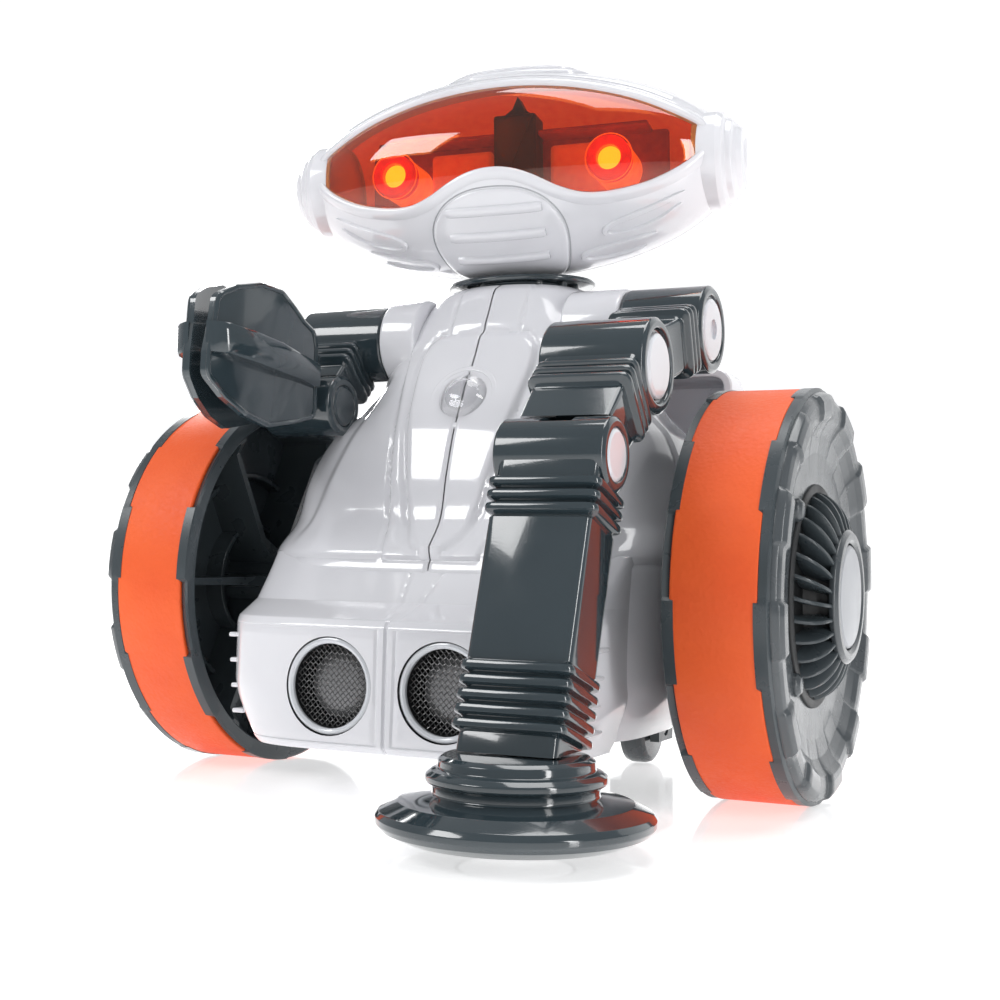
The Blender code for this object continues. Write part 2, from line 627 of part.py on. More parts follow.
def head():
    axis = empty("head_axis", (NECK_X, NECK_Y, HEAD_Z), (0.0, HEAD_LEAN, HEAD_TURN))
    ball = empty("head_middle", (0.0, HEAD_OFFSET_Y, 0.0), parent=axis)
    visor_edge = mirrored(VISOR_HALF, VISOR_TOP)
    chin_edge = mirrored(CHIN_HALF)

    front = head_ball("head_front")
    cut(front, head_ball("head_front_core", 2.8, 14, 8), ball)
    cut(front, block("front_split", (-80, 2.0, -40), (80, 60, 40)), ball)
    cut(front, head_prism("visor_hole", visor_edge, -40.0, -1.0), ball)
    cut(front, head_prism("chin_hole", shrunk(chin_edge, -GAP / 2), -40.0, -3.2), ball)
    for side in (-1, 1):
        cut(front, rod("ear_hole_front_%d" % side, 8.4, side * 40.0, side * 60.0, (0.0, 0.0)), ball)
    part(front, "white_plastic", ball)

    rear = head_ball("head_rear")
    cut(rear, head_ball("head_rear_core", 2.8, 14, 8), ball)
    cut(rear, block("rear_split", (-80, -60, -40), (80, 2.3, 40)), ball)
    for side in (-1, 1):
        cut(rear, rod("ear_hole_rear_%d" % side, 8.4, side * 40.0, side * 60.0, (0.0, 0.0)), ball)
    cut(rear, rod("post_hole", 4.6, -40.0, 0.0, (0.0, POST_Y - HEAD_OFFSET_Y), "Z", 16), ball)
    cut(front, rod("post_hole_front", 4.6, -40.0, 0.0, (0.0, POST_Y - HEAD_OFFSET_Y), "Z", 16), ball)
    part(rear, "white_plastic", ball)

    visor = head_ball("visor", 0.4)
    cut(visor, head_ball("visor_core", 2.2), ball)
    keep(visor, head_prism("visor_edge", shrunk(visor_edge, GAP), -40.0, -2.0), ball)
    part(visor, "visor_red", ball)

    chin = head_ball("chin_plate", -0.5)
    cut(chin, head_ball("chin_core", 2.2), ball)
    keep(chin, head_prism("chin_edge", shrunk(chin_edge, GAP / 2), -40.0, -3.5), ball)
    part(chin, "white_plastic", ball)

    crown = head_ball("crown_plate", -2.0)
    cut(crown, head_ball("crown_under", -GAP), ball)
    plate = loft("crown_edge", [oval_ring(z, 18.5, -8.5, 16.0, 2.6, 32) for z in (5.0, 40.0)])
    keep(crown, plate, ball)
    part(crown, "white_plastic", ball)

    for side, word in ((1, "left"), (-1, "right")):
        ear_axis = empty("ear_axis_" + word, (0.0, 0.0, 0.0), (0.0, side * math.radians(90.0), 0.0), ball)
        ear = turned("ear_" + word, [(0.0, 57.6), (5.0, 57.0), (7.6, 55.0), (8.6, 54.6), (9.4, 52.6),
                                     (11.8, 50.4), (8.0, 50.4), (8.0, 48.0), (0.0, 48.0)], 18)
        cut(ear, head_ball("ear_under_" + word, -GAP), ball)
        part(ear, "white_plastic", ear_axis)
        barrel_axis = empty("eye_axis_" + word, (side * EYE_X, 0.0, EYE_Z),
                            (math.radians(90.0), 0.0, 0.0), ball)
        tube = [(5.6, 12.4), (5.8, 12.0), (5.8, 2.0), (3.6, 2.0), (3.6, 12.4)]
        part(turned("eye_barrel_" + word, tube, 18, closed=True), "lamp_red", barrel_axis)
    wall = block("eye_bulkhead", (-38.0, 0.2, -7.5), (38.0, 1.7, 11.0))
    join(wall, block("eye_post", (-5.5, -8.0, -9.0), (4.5, 1.0, 14.0)), ball)
    part(wall, "dark_plastic", ball)

    post = turned("neck_post", [(0.0, -16.0), (4.0, -16.0), (4.0, -31.4), (0.0, -31.4)], 14)
    post.location = mm(0.0, POST_Y, 0.0)
    collar = turned("neck_ring", [(0.0, -25.9), (17.0, -25.9), (19.0, -26.6), (17.2, -27.4),
                                  (0.0, -27.4)], 24)
    collar.location = mm(0.0, POST_Y, 0.0)
    join(post, collar, axis)
    part(post, "dark_plastic", axis)


# ---------------------------------------------------------------- arms

def link_frame(name, pivot, target, x):
    """An empty on a joint's axis, whose -Z points along the arm to the next joint."""
    angle = math.atan2(target[0] - pivot[0], pivot[1] - target[1])
    length = math.dist(pivot, target)
    return empty(name, (x, *pivot), (angle, 0.0, 0.0)), angle, length


def fan(name, radius, half_angle, middle, half_width):
    """A wedge about X, used to open a barrel for the tongue of the link before it."""
    outline = [(0.0, 0.0)]
    for i in range(5):
        angle = middle + half_angle * (i / 2 - 1)
        outline.append((math.cos(angle) * radius, math.sin(angle) * radius))
    return stand_across(flat_outline(name, outline, -half_width, half_width))


def barrel(obj, name, radius, half_x, frame):
    drum = rod(name + "_drum", radius, -half_x, half_x, (0.0, 0.0), sides=18)
    step = drum.modifiers.new("rounding", "BEVEL")
    step.width = 0.9 * MM
    step.segments = 1
    join(obj, drum, frame)


def tongue(obj, name, length, next_radius, frame, middle=0.0):
    """The flat ear that reaches into the next barrel, with a hole for the pin."""
    ear = next_radius - 3.0
    near = middle - TONGUE / 2
    far = middle + TONGUE / 2
    join(obj, block(name + "_tongue", (near, -2.4, -length), (far, 2.4, -length + next_radius + 4)), frame)
    join(obj, rod(name + "_eye", ear, near, far, (0.0, -length), sides=16), frame)
    cut(obj, rod(name + "_eye_bore", 2.0 + GAP, -20, 20, (0.0, -length), sides=12), frame)


def saddle(obj, name, length, next_radius, frame):
    cut(obj, rod(name + "_saddle", next_radius + 0.5, -30, 30, (0.0, -length), sides=28), frame)


def bellows(half_x, half_y, top, count, pitch=2.6, out=1.0, corner=2.6):
    """Sections of a folded sleeve that starts at height top and goes down."""
    rings = []
    for number in range(count):
        z = top - number * pitch
        rings.append(soft_rect(half_x + out, half_y + out, corner, z))
        rings.append(soft_rect(half_x + out, half_y + out, corner, z - pitch * 0.5))
        rings.append(soft_rect(half_x, half_y, corner, z - pitch * 0.75))
    return rings


def open_barrel(obj, name, radius, frame, back_angle, reach):
    """Room inside a barrel for the link before it, which arrives from back_angle in the frame's YZ plane."""
    cut(obj, rod(name + "_chamber", radius - 2.6, -TONGUE / 2 - 0.4, TONGUE / 2 + 0.4, (0.0, 0.0),
                 sides=20), frame)
    opening = fan(name + "_opening", radius + 6.0, reach, back_angle, TONGUE / 2 + 0.4)
    cut(obj, opening, frame)


def magnet_arm():
    mid_a = (ARM_A_IN + ARM_OUT) / 2
    mid_b = (ARM_IN + ARM_OUT) / 2
    half_a = (ARM_OUT - ARM_A_IN) / 2
    half_b = (ARM_OUT - ARM_IN) / 2

    # Upper link, from the shoulder barrel to the second barrel.
    frame, _, length = link_frame("left_shoulder_axis", ARM_A, ARM_B, mid_a)
    end = -length + BARREL_B * 0.4
    upper = loft("left_upper_arm", [soft_rect(8.4, 6.2, 2.0, -3.0), soft_rect(8.4, 6.2, 2.0, -9.6)]
                 + bellows(8.6, 7.2, -9.8, 3) + [soft_rect(7.4, 5.8, 2.0, -18.2),
                                                 soft_rect(7.4, 5.8, 2.0, end)])
    saddle(upper, "upper", length, BARREL_B, frame)
    barrel(upper, "upper", BARREL_A, half_a, frame)
    tongue(upper, "upper", length, BARREL_B, frame, mid_b - mid_a)
    cut(upper, rod("upper_pin_bore", 2.0 + GAP, -20, 20, (0.0, 0.0), sides=12), frame)
    cut(upper, rod("upper_cap_seat", 7.4 + GAP, half_a - 1.6, 20, (0.0, 0.0), sides=18), frame)
    part(upper, "dark_plastic", frame)
    shoulder_pin(1, frame, half_a, "left_shoulder_pin", mid_a)

    # Middle link.
    frame, angle_b, length = link_frame("left_middle_axis", ARM_B, ARM_C, mid_b)
    end = -length + BARREL_C * 0.4
    middle = loft("left_middle_arm", [soft_rect(10.0, 6.6, 2.0, -3.0), soft_rect(10.0, 6.6, 2.0, -8.9)]
                  + bellows(10.2, 7.4, -9.0, 3) + [soft_rect(9.6, 6.2, 2.0, -17.0),
                                                   soft_rect(8.8, 5.0, 2.0, end)])
    saddle(middle, "middle", length, BARREL_C, frame)
    barrel(middle, "middle", BARREL_B, half_b, frame)
    tongue(middle, "middle", length, BARREL_C, frame)
    cut(middle, rod("middle_pin_bore", 2.0 + GAP, -20, 20, (0.0, 0.0), sides=12), frame)
    cut(middle, rod("middle_cap_seat", 7.0 + GAP, half_b - 1.4, 20, (0.0, 0.0), sides=18), frame)
    back = math.atan2(ARM_A[1] - ARM_B[1], ARM_A[0] - ARM_B[0]) - angle_b
    open_barrel(middle, "middle", BARREL_B, frame, back, math.radians(58.0))
    part(middle, "dark_plastic", frame)
    joint_pin("left_middle_pin", 7.0, half_b, frame)

    # Forearm.
    frame, angle_c, length = link_frame("left_elbow_axis", ARM_C, ARM_WRIST, mid_b)
    forearm = loft("left_forearm", [soft_rect(10.2, 5.4, 2.0, -2.5), soft_rect(10.2, 5.6, 2.0, -6.4)]
                   + bellows(10.6, 7.0, -6.8, 3) + [soft_rect(10.0, 7.0, 2.2, -15.2),
                                                    soft_rect(10.0, 7.0, 2.2, -42.0)]
                   + bellows(10.2, 7.4, -42.6, 5, 2.7) + [soft_rect(9.6, 7.0, 2.2, -length)])
    barrel(forearm, "forearm", BARREL_C, half_b, frame)
    cut(forearm, rod("forearm_pin_bore", 2.0 + GAP, -20, 20, (0.0, 0.0), sides=12), frame)
    cut(forearm, rod("forearm_cap_seat", 5.4 + GAP, half_b - 1.4, 20, (0.0, 0.0), sides=18), frame)
    back = math.atan2(ARM_B[1] - ARM_C[1], ARM_B[0] - ARM_C[0]) - angle_c
    open_barrel(forearm, "forearm", BARREL_C, frame, back, math.radians(66.0))
    cut(forearm, block("wrist_trim", (10, -120, -5), (80, -40, 17.6)))
    part(forearm, "dark_plastic", frame)
    joint_pin("left_elbow_pin", 5.4, half_b, frame)

    # Wrist collar and magnet foot.
    foot = empty("magnet_axis", (MAGNET_X, MAGNET_Y, 0.0))
    disc = turned("magnet_foot", [
        (0.0, 17.3), (13.2, 17.3), (14.0, 16.4), (14.0, 14.9), (16.2, 13.8), (16.2, 12.6),
        (14.8, 11.6), (14.8, 10.2), (20.5, 9.4), (MAGNET_R, 6.8),
        (MAGNET_R, 5.4), (20.5, 2.8), (10.6, 2.8), (10.6, 7.2), (0.0, 7.2)], 24)
    part(disc, "dark_plastic", foot)
    part(turned("magnet", [(0.0, 6.9), (10.2, 6.9), (10.2, 3.1), (0.0, 3.1)], 20), "steel", foot)


def joint_pin(name, head_r, half_x, frame, color="light_plastic"):
    """A pin whose broad head closes the barrel's outer end."""
    pin = rod(name, 2.0, -half_x + 0.8, half_x - 0.8, (0.0, 0.0), sides=10)
    join(pin, rod(name + "_head", head_r, half_x - 1.1, half_x + 0.1, (0.0, 0.0), sides=16), frame)
    part(pin, color, frame)


def shoulder_pin(side, frame, half_x, name, mid_x):
    """The pin that holds an arm to the body's shoulder pod, with a broad head outside."""
    inner = side * (26.0 - abs(mid_x))
    outer = side * (half_x - 1.0)
    pin = rod(name, 2.0, inner, outer, (0.0, 0.0), sides=10)
    join(pin, rod(name + "_head", 7.4, side * (half_x - 1.3), side * (half_x + 0.1), (0.0, 0.0),
                  sides=16), frame)
    cut(pin, rod(name + "_socket", 2.2, side * (half_x - 0.5), side * (half_x + 3.0), (0.0, 0.0),
                 sides=6), frame)
    part(pin, "light_plastic", frame)


def jaw_offset(y):
    """How far a jaw's inner face is from the claw's middle plane, bulging out and closing at the tip."""
    along = min(max((JAW_PIVOT_Y + 3.0 - y) / 38.0, 0.0), 1.0)
    return 5.7 - 4.5 * along ** 2.2


def jaw(side, word):
    """One curved jaw; side is +1 for the jaw nearer the body."""
    outline = [(-59.6, 107.6), (-54.0, 110.4), (-46.4, 112.5), (-39.2, 112.0), (-34.0, 108.8),
               (-30.2, 106.2),
               (-26.0, 104.4), (-24.8, 101.0), (-24.8, 84.0), (-33.0, 81.8), (-42.9, 79.8), (-50.4, 81.8),
               (-57.0, 85.5), (-62.4, 89.8), (-62.2, 95.0), (-60.6, 101.8)]
    frame = empty("jaw_axis_" + word, (CLAW_MID + side * JAW_PIVOT_X, JAW_PIVOT_Y, 0.0))
    shift = Vector((CLAW_MID + side * JAW_PIVOT_X, JAW_PIVOT_Y, 0.0))
    rings = []
    spine = []
    stations = [-63.5 + i * (39.5 / 7) for i in range(8)]
    for y in stations:
        near = side * jaw_offset(y) - side * JAW_PIVOT_X
        far = near + side * 1.7
        rings.append([(near, y - shift.y, 70.0), (far, y - shift.y, 70.0), (far, y - shift.y, 125.0),
                      (near, y - shift.y, 125.0)])
    blade = loft("jaw_" + word, rings)
    keep(blade, stand_across(flat_outline("jaw_edge_" + word, outline, -60.0, -20.0)))
    for y, rise in ((-61.2, 0.6), (-59.4, 3.4), (-50.0, 3.4), (-38.0, 2.6), (-25.2, 1.4)):
        near = side * (jaw_offset(y) + 1.0) - side * JAW_PIVOT_X
        far = near + side * (0.7 + rise)
        middle = 93.4 + (-22.0 - y) * 0.125
        half = 3.4 if y < -40 else 3.0
        spine.append([(near, y - shift.y, middle - half), (far, y - shift.y, middle - half + 0.9),
                      (far, y - shift.y, middle + half - 0.9), (near, y - shift.y, middle + half)])
    join(blade, loft("jaw_spine_" + word, spine), frame)
    lug_in = sorted((0.0, side * (6.2 - JAW_PIVOT_X)))
    join(blade, block("jaw_lug_" + word, (lug_in[0], -1.8, 89.4), (lug_in[1], 1.8, 96.4)), frame)
    join(blade, rod("jaw_eye_" + word, 2.1, 89.4, 96.4, (0.0, 0.0), "Z", 20), frame)
    join(blade, rod("jaw_stub_" + word, 0.9, 86.6, 99.2, (0.0, 0.0), "Z", 16), frame)
    part(blade, "dark_plastic", frame)


def claw_arm():
    mid = (CLAW_IN + CLAW_OUT) / 2
    half = (CLAW_IN - CLAW_OUT) / 2
    frame, _, length = link_frame("right_shoulder_axis", CLAW_A, CLAW_E, mid)
    end = -length + 3.0
    upper = loft("right_upper_arm", [soft_rect(8.2, 6.4, 2.0, -2.0), soft_rect(8.2, 6.4, 2.0, -8.0)]
                 + bellows(8.0, 6.6, -8.2, 3, 2.3) + [soft_rect(7.2, 5.2, 1.6, -15.4),
                                                      soft_rect(6.6, 4.6, 1.6, end)])
    saddle(upper, "claw_upper", length, 7.2, frame)
    barrel(upper, "claw_upper", 9.6, half, frame)
    join(upper, rod("claw_upper_flange", 9.2, half - 1.0, -CLAW_POD_FACE - GAP - mid, (0.0, 0.0),
                    sides=18), frame)
    tongue(upper, "claw_upper", length, 7.2, frame)
    cut(upper, rod("claw_pin_bore", 2.0 + GAP, -20, 20, (0.0, 0.0), sides=12), frame)
    cut(upper, rod("claw_cap_seat", 7.4 + GAP, -half + 1.6, -20, (0.0, 0.0), sides=18), frame)
    part(upper, "dark_plastic", frame)
    shoulder_pin(-1, frame, half, "right_shoulder_pin", mid)

    frame = empty("right_elbow_axis", (mid, *CLAW_E))
    palm = block("palm", (-5.0, -12.4, -2.6), (5.0, -3.0, 12.2))
    cut(palm, block("palm_slot", (-8.0, -20.0, 1.4), (8.0, -8.0, 9.2)), frame)
    barrel(palm, "palm", 7.2, half, frame)
    for level in (-1.8, 9.4):
        join(palm, block("palm_plate_%d" % (level * 10), (-4.9, -14.4, level), (4.9, -6.0, level + 2.6)),
             frame)
    for offset in (-JAW_PIVOT_X, JAW_PIVOT_X):
        bore = rod("palm_bore_%d" % (offset * 10), 1.2, -10, 20,
                   (CLAW_MID - mid + offset, JAW_PIVOT_Y - CLAW_E[0]),
                   "Z", 16)
        cut(palm, bore, frame)
    cut(palm, rod("palm_pin_bore", 2.0 + GAP, -20, 20, (0.0, 0.0), sides=12), frame)
    cut(palm, rod("palm_cap_seat", 5.2 + GAP, half - 1.4, 20, (0.0, 0.0), sides=18), frame)
    back = math.atan2(CLAW_A[1] - CLAW_E[1], CLAW_A[0] - CLAW_E[0])
    open_barrel(palm, "palm", 7.2, frame, back, math.radians(60.0))
    part(palm, "dark_plastic", frame)
    joint_pin("right_elbow_pin", 5.2, half, frame, "dark_plastic")
    jaw(1, "inner")
    jaw(-1, "outer")


def build():
    global PARTS, CUTTERS, FRAME
    clear_scene()
    PARTS = new_collection(OBJECT)
    CUTTERS = new_collection("cutters")
    FRAME = bpy.data.objects.new("ground_under_axle", None)
    PARTS.objects.link(FRAME)
    FRAME.location = mm(0.0, AXLE_TO_CENTRE, 0.0)
    sensor_housing()
    for side in (1, -1):
        body_half(side)
        sonar(side)
        wheel(side, drive(side))
    chest_lens()
    rear_cover()
    chassis()
    head()
    magnet_arm()
    claw_arm()


build()
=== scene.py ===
import math

import bmesh
import bpy
from mathutils import Matrix, Vector


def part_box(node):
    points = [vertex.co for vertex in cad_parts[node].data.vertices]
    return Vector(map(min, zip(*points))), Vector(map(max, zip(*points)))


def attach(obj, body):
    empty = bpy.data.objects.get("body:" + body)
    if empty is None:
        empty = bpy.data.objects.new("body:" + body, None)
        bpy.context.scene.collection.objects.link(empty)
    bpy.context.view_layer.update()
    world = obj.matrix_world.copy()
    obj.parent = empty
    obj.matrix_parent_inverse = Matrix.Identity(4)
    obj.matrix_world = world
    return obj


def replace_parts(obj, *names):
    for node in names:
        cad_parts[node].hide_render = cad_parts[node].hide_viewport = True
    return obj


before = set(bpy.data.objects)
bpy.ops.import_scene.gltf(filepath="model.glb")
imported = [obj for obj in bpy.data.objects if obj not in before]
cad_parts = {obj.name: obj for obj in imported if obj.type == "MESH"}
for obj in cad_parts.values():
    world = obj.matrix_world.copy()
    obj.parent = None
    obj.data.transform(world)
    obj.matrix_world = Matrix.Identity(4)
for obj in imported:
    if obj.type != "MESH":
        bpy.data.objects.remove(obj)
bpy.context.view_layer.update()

# Lengths below are millimetres, measured from the ground point under the wheels' axle, with x to the
# robot's left, y backwards and z up. ROW turns them into the row frame's metres.
TYRE_LOW, TYRE_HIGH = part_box("tyre_left")
ROW = Matrix.Translation((0, (TYRE_LOW.y + TYRE_HIGH.y) / 2, 0)) @ Matrix.Scale(0.001, 4)

BODY_LEVELS = (
    # height, half width, front y, back y, roundness of the section
    (13.0, 41.0, -33.0, 31.0, 3.6), (18.0, 45.5, -36.5, 33.5, 3.8), (27.0, 49.0, -38.0, 35.5, 4.0),
    (52.0, 49.5, -34.0, 36.0, 4.0), (60.0, 49.2, -27.8, 36.0, 3.6), (70.0, 48.0, -25.2, 36.0, 3.3),
    (80.0, 44.0, -22.0, 36.0, 3.0), (86.0, 38.0, -19.0, 36.0, 2.8), (92.0, 33.2, -15.7, 35.6, 2.7),
    (99.0, 30.6, -11.6, 35.2, 2.6), (105.0, 28.0, -8.6, 34.8, 2.6), (111.0, 23.8, -5.4, 34.0, 2.5),
    (115.5, 19.5, -3.0, 31.5, 2.4), (117.4, 16.0, -0.5, 28.5, 2.3),
)
SEAM = 0.16
LENS = (0.0, -18.4, 88.2)
LENS_TILT = math.radians(62.0)
SHOULDER = (1.8, 104.5)
SONAR_X = 13.5
SONAR_Z = 24.4
HEAD_RADII = Vector((54.5, 23.5, 24.9))
HEAD = (Matrix.Translation((-1.5, 14.0, 146.0)) @ Matrix.Rotation(math.radians(8.4), 4, "Z")
        @ Matrix.Rotation(math.radians(-1.6), 4, "Y") @ Matrix.Translation((0.0, -3.4, 0.0)))
NECK = HEAD @ Matrix.Translation((0.0, 3.4, 0.0))
VISOR_HALF = ((0.0, -3.3), (5.0, -3.9), (9.8, -5.6), (16.0, -8.6), (22.0, -10.1), (29.0, -9.6), (37.0, -7.4),
              (44.5, -3.2), (48.6, 1.6), (47.5, 6.0), (42.5, 8.9), (31.0, 13.7), (16.0, 17.4), (0.0, 18.8))
SHIELD_HALF = ((0.0, 104.7), (9.0, 104.2), (13.0, 102.0), (14.2, 97.0), (13.4, 88.0), (12.2, 80.5),
               (10.2, 70.0),
               (8.0, 60.5), (5.8, 55.8), (2.6, 53.4), (0.0, 52.9))


# ---------------------------------------------------------------- materials

def nodes_of(name, **sockets):
    """A new material and a small helper that adds and wires nodes."""
    made = bpy.data.materials.new(name)
    made.use_nodes = True
    tree = made.node_tree
    shader = tree.nodes["Principled BSDF"]
    for key, value in sockets.items():
        shader.inputs[key.replace("_", " ")].default_value = value
    place = tree.nodes.new("ShaderNodeTexCoord").outputs["Object"]

    def add(kind, inputs=None, **settings):
        node = tree.nodes.new("ShaderNode" + kind)
        for key, value in settings.items():
            setattr(node, key, value)
        for key, value in (inputs or {}).items():
            if isinstance(value, bpy.types.NodeSocket):
                tree.links.new(value, node.inputs[key])
            else:
                node.inputs[key].default_value = value
        return node

    return made, tree, shader, place, add


def spread(add, source, low, high, start=0.3, end=0.7):
    """Stretch a noise value onto the range low to high."""
    return add("MapRange", {"Value": source, "From Min": start, "From Max": end, "To Min": low,
                            "To Max": high}).outputs["Result"]


def plastic(name, color, shade, rough=(0.12, 0.2), grain=0.00002, grain_scale=2600.0, **sockets):
    """Moulded plastic: flow-like colour variation, uneven gloss and a very fine skin."""
    made, tree, shader, place, add = nodes_of(name, **sockets)
    flow = add("TexNoise", {"Vector": place, "Scale": 28.0, "Detail": 3.0, "Distortion": 0.6}).outputs["Fac"]
    mix = add("Mix", {"Factor": spread(add, flow, 0.0, 1.0), "A": (*color, 1.0), "B": (*shade, 1.0)},
              data_type="RGBA")
    tree.links.new(mix.outputs["Result"], shader.inputs["Base Color"])
    haze = add("TexNoise", {"Vector": place, "Scale": 130.0, "Detail": 5.0}).outputs["Fac"]
    tree.links.new(spread(add, haze, *rough), shader.inputs["Roughness"])
    skin = add("TexNoise", {"Vector": place, "Scale": grain_scale, "Detail": 2.0}).outputs["Fac"]
    bump = add("Bump", {"Height": skin, "Distance": grain, "Strength": 0.35})
    tree.links.new(bump.outputs["Normal"], shader.inputs["Normal"])
    return made


def leather(name):
    """The tread band: orange rubber with a creased, leather-like grain."""
    made, tree, shader, place, add = nodes_of(name, Specular_IOR_Level=0.4)
    cells = add("TexVoronoi", {"Vector": place, "Scale": 1150.0, "Randomness": 1.0},
                feature="SMOOTH_F1").outputs["Distance"]
    creases = add("TexNoise", {"Vector": place, "Scale": 820.0, "Detail": 6.0,
                               "Distortion": 1.4}).outputs["Fac"]
    height = add("Math", {0: cells, 1: creases}, operation="MULTIPLY").outputs[0]
    bump = add("Bump", {"Height": height, "Distance": 0.00022, "Strength": 0.55})
    tree.links.new(bump.outputs["Normal"], shader.inputs["Normal"])
    cloud = add("TexNoise", {"Vector": place, "Scale": 60.0, "Detail": 4.0}).outputs["Fac"]
    mix = add("Mix", {"Factor": spread(add, cloud, 0.0, 1.0), "A": (0.78, 0.095, 0.016, 1.0),
                      "B": (0.84, 0.12, 0.022, 1.0)}, data_type="RGBA")
    tree.links.new(mix.outputs["Result"], shader.inputs["Base Color"])
    tree.links.new(spread(add, creases, 0.42, 0.6), shader.inputs["Roughness"])
    return made


def tinted(name, color, rough, **sockets):
    """Clear tinted plastic with faint flow lines."""
    made, tree, shader, place, add = nodes_of(name, Transmission_Weight=1.0, IOR=1.2, Coat_Weight=1.0,
                                              Coat_Roughness=0.02, **sockets)
    flow = add("TexNoise", {"Vector": place, "Scale": 40.0, "Detail": 2.0, "Distortion": 1.0}).outputs["Fac"]
    deep = tuple(c * 0.92 for c in color)
    mix = add("Mix", {"Factor": spread(add, flow, 0.0, 1.0), "A": (*color, 1.0), "B": (*deep, 1.0)},
              data_type="RGBA")
    tree.links.new(mix.outputs["Result"], shader.inputs["Base Color"])
    tree.links.new(spread(add, flow, *rough), shader.inputs["Roughness"])
    return made


def glowing(name, color, strength, rim):
    """A lamp's lens, hotter in patches; also the painted glow of the head's inside, which is no lamp."""
    made, tree, shader, place, add = nodes_of(name, Roughness=0.25)
    spots = add("TexNoise", {"Vector": place, "Scale": 420.0, "Detail": 2.0}).outputs["Fac"]
    mix = add("Mix", {"Factor": spread(add, spots, 0.0, 1.0), "A": (*color, 1.0), "B": (*rim, 1.0)},
              data_type="RGBA")
    tree.links.new(mix.outputs["Result"], shader.inputs["Base Color"])
    tree.links.new(mix.outputs["Result"], shader.inputs["Emission Color"])
    tree.links.new(spread(add, spots, strength * 0.8, strength), shader.inputs["Emission Strength"])
    return made


WHITE = plastic("white_abs", (0.74, 0.74, 0.77), (0.68, 0.68, 0.715), (0.1, 0.17), Coat_Weight=0.6,
                Coat_Roughness=0.04)
DARK = plastic("slate_gloss", (0.022, 0.034, 0.041), (0.03, 0.044, 0.052), (0.07, 0.14), Coat_Weight=0.7,
               Coat_Roughness=0.03)
SEMI = plastic("slate_satin", (0.035, 0.045, 0.05), (0.05, 0.062, 0.07), (0.24, 0.36))
GREY = plastic("wheel_grey", (0.05, 0.058, 0.064), (0.068, 0.078, 0.085), (0.2, 0.3), Coat_Weight=0.25,
               Coat_Roughness=0.12)
CAP = plastic("cap_grey", (0.33, 0.34, 0.36), (0.4, 0.41, 0.43), (0.3, 0.4))
PALE = plastic("pale_cap", (0.62, 0.64, 0.68), (0.7, 0.72, 0.75), (0.08, 0.14), Coat_Weight=0.7,
               Coat_Roughness=0.03)
BLACK = plastic("deep_black", (0.006, 0.007, 0.008), (0.012, 0.013, 0.014), (0.4, 0.6))
CREAM = plastic("gear_acetal", (0.72, 0.68, 0.52), (0.8, 0.77, 0.62), (0.35, 0.5))
GREEN = plastic("board_laminate", (0.01, 0.1, 0.04), (0.015, 0.16, 0.06), (0.3, 0.45))
CELL = plastic("cell_wrap", (0.1, 0.1, 0.12), (0.16, 0.15, 0.17), (0.25, 0.4), Metallic=0.4)
STEEL = plastic("worn_steel", (0.5, 0.5, 0.51), (0.62, 0.62, 0.63), (0.2, 0.38), 0.00003, Metallic=1.0)
WIRE = plastic("mesh_wire", (0.13, 0.13, 0.13), (0.2, 0.2, 0.2), (0.25, 0.4), Metallic=1.0)
SENSOR = plastic("sensor_face", (0.34, 0.34, 0.35), (0.42, 0.42, 0.43), (0.3, 0.45), Metallic=0.5)
ORANGE = leather("leather_grain_rubber")
VISOR = tinted("visor_tint", (1.0, 0.3, 0.07), (0.0, 0.02))
CLEAR = tinted("clear_lens", (0.97, 0.97, 0.98), (0.0, 0.04))
LAMP = glowing("lamp_core", (1.0, 0.52, 0.06), 4.5, (1.0, 0.42, 0.03))
LAMP_RING = glowing("lamp_ring", (0.75, 0.015, 0.02), 0.5, (0.85, 0.03, 0.03))
LAMP_TUBE = glowing("lamp_tube", (1.0, 0.3, 0.02), 0.7, (1.0, 0.4, 0.03))
# Painted light: an orange glow on the head's inside, standing in for light coming through the visor; it is no
# lamp.
PAINTED_GLOW = glowing("painted_light_cavity", (0.9, 0.3, 0.08), 0.28, (0.8, 0.2, 0.05))
# Painted light and shade: a dim deep-red glow for the head's shaded back wall, as if faintly lit through the
# visor.
PAINTED_DIM_GLOW = glowing("painted_dim_light_cavity", (0.42, 0.06, 0.02), 0.1, (0.3, 0.035, 0.012))


# ---------------------------------------------------------------- shapes

class Form:
    """Gathers vertices and faces, in millimetres, for one piece."""

    def __init__(self):
        self.points = []
        self.faces = []

    def add(self, points, faces, at=None):
        start = len(self.points)
        self.points += [at @ Vector(p) if at else Vector(p) for p in points]
        self.faces += [tuple(i + start for i in face) for face in faces]
        return self

    def grid(self, rings, closed=True, low_cap=True, high_cap=True, at=None):
        """Rows of points, all of one length; closed joins each row's ends."""
        count = len(rings[0])
        points = [p for ring in rings for p in ring]
        faces = []
        for row in range(len(rings) - 1):
            for i in range(count if closed else count - 1):
                j = (i + 1) % count
                faces.append((row * count + i, row * count + j, (row + 1) * count + j, (row + 1) * count + i))
        if low_cap:
            faces.append(tuple(range(count))[::-1])
        if high_cap:
            faces.append(tuple(range((len(rings) - 1) * count, len(rings) * count)))
        return self.add(points, faces, at)

    def make(self, name, material, body=None, at=None, sharp=38.0):
        mesh = bpy.data.meshes.new(name)
        placed = ROW @ at if at else ROW
        mesh.from_pydata([placed @ p for p in self.points], [], self.faces)
        bm = bmesh.new()
        bm.from_mesh(mesh)
        bmesh.ops.remove_doubles(bm, verts=bm.verts, dist=0.000002)
        bmesh.ops.recalc_face_normals(bm, faces=bm.faces)
        bm.to_mesh(mesh)
        bm.free()
        obj = bpy.data.objects.new(name, mesh)
        bpy.context.scene.collection.objects.link(obj)
        return finish_piece(obj, material, body, sharp)


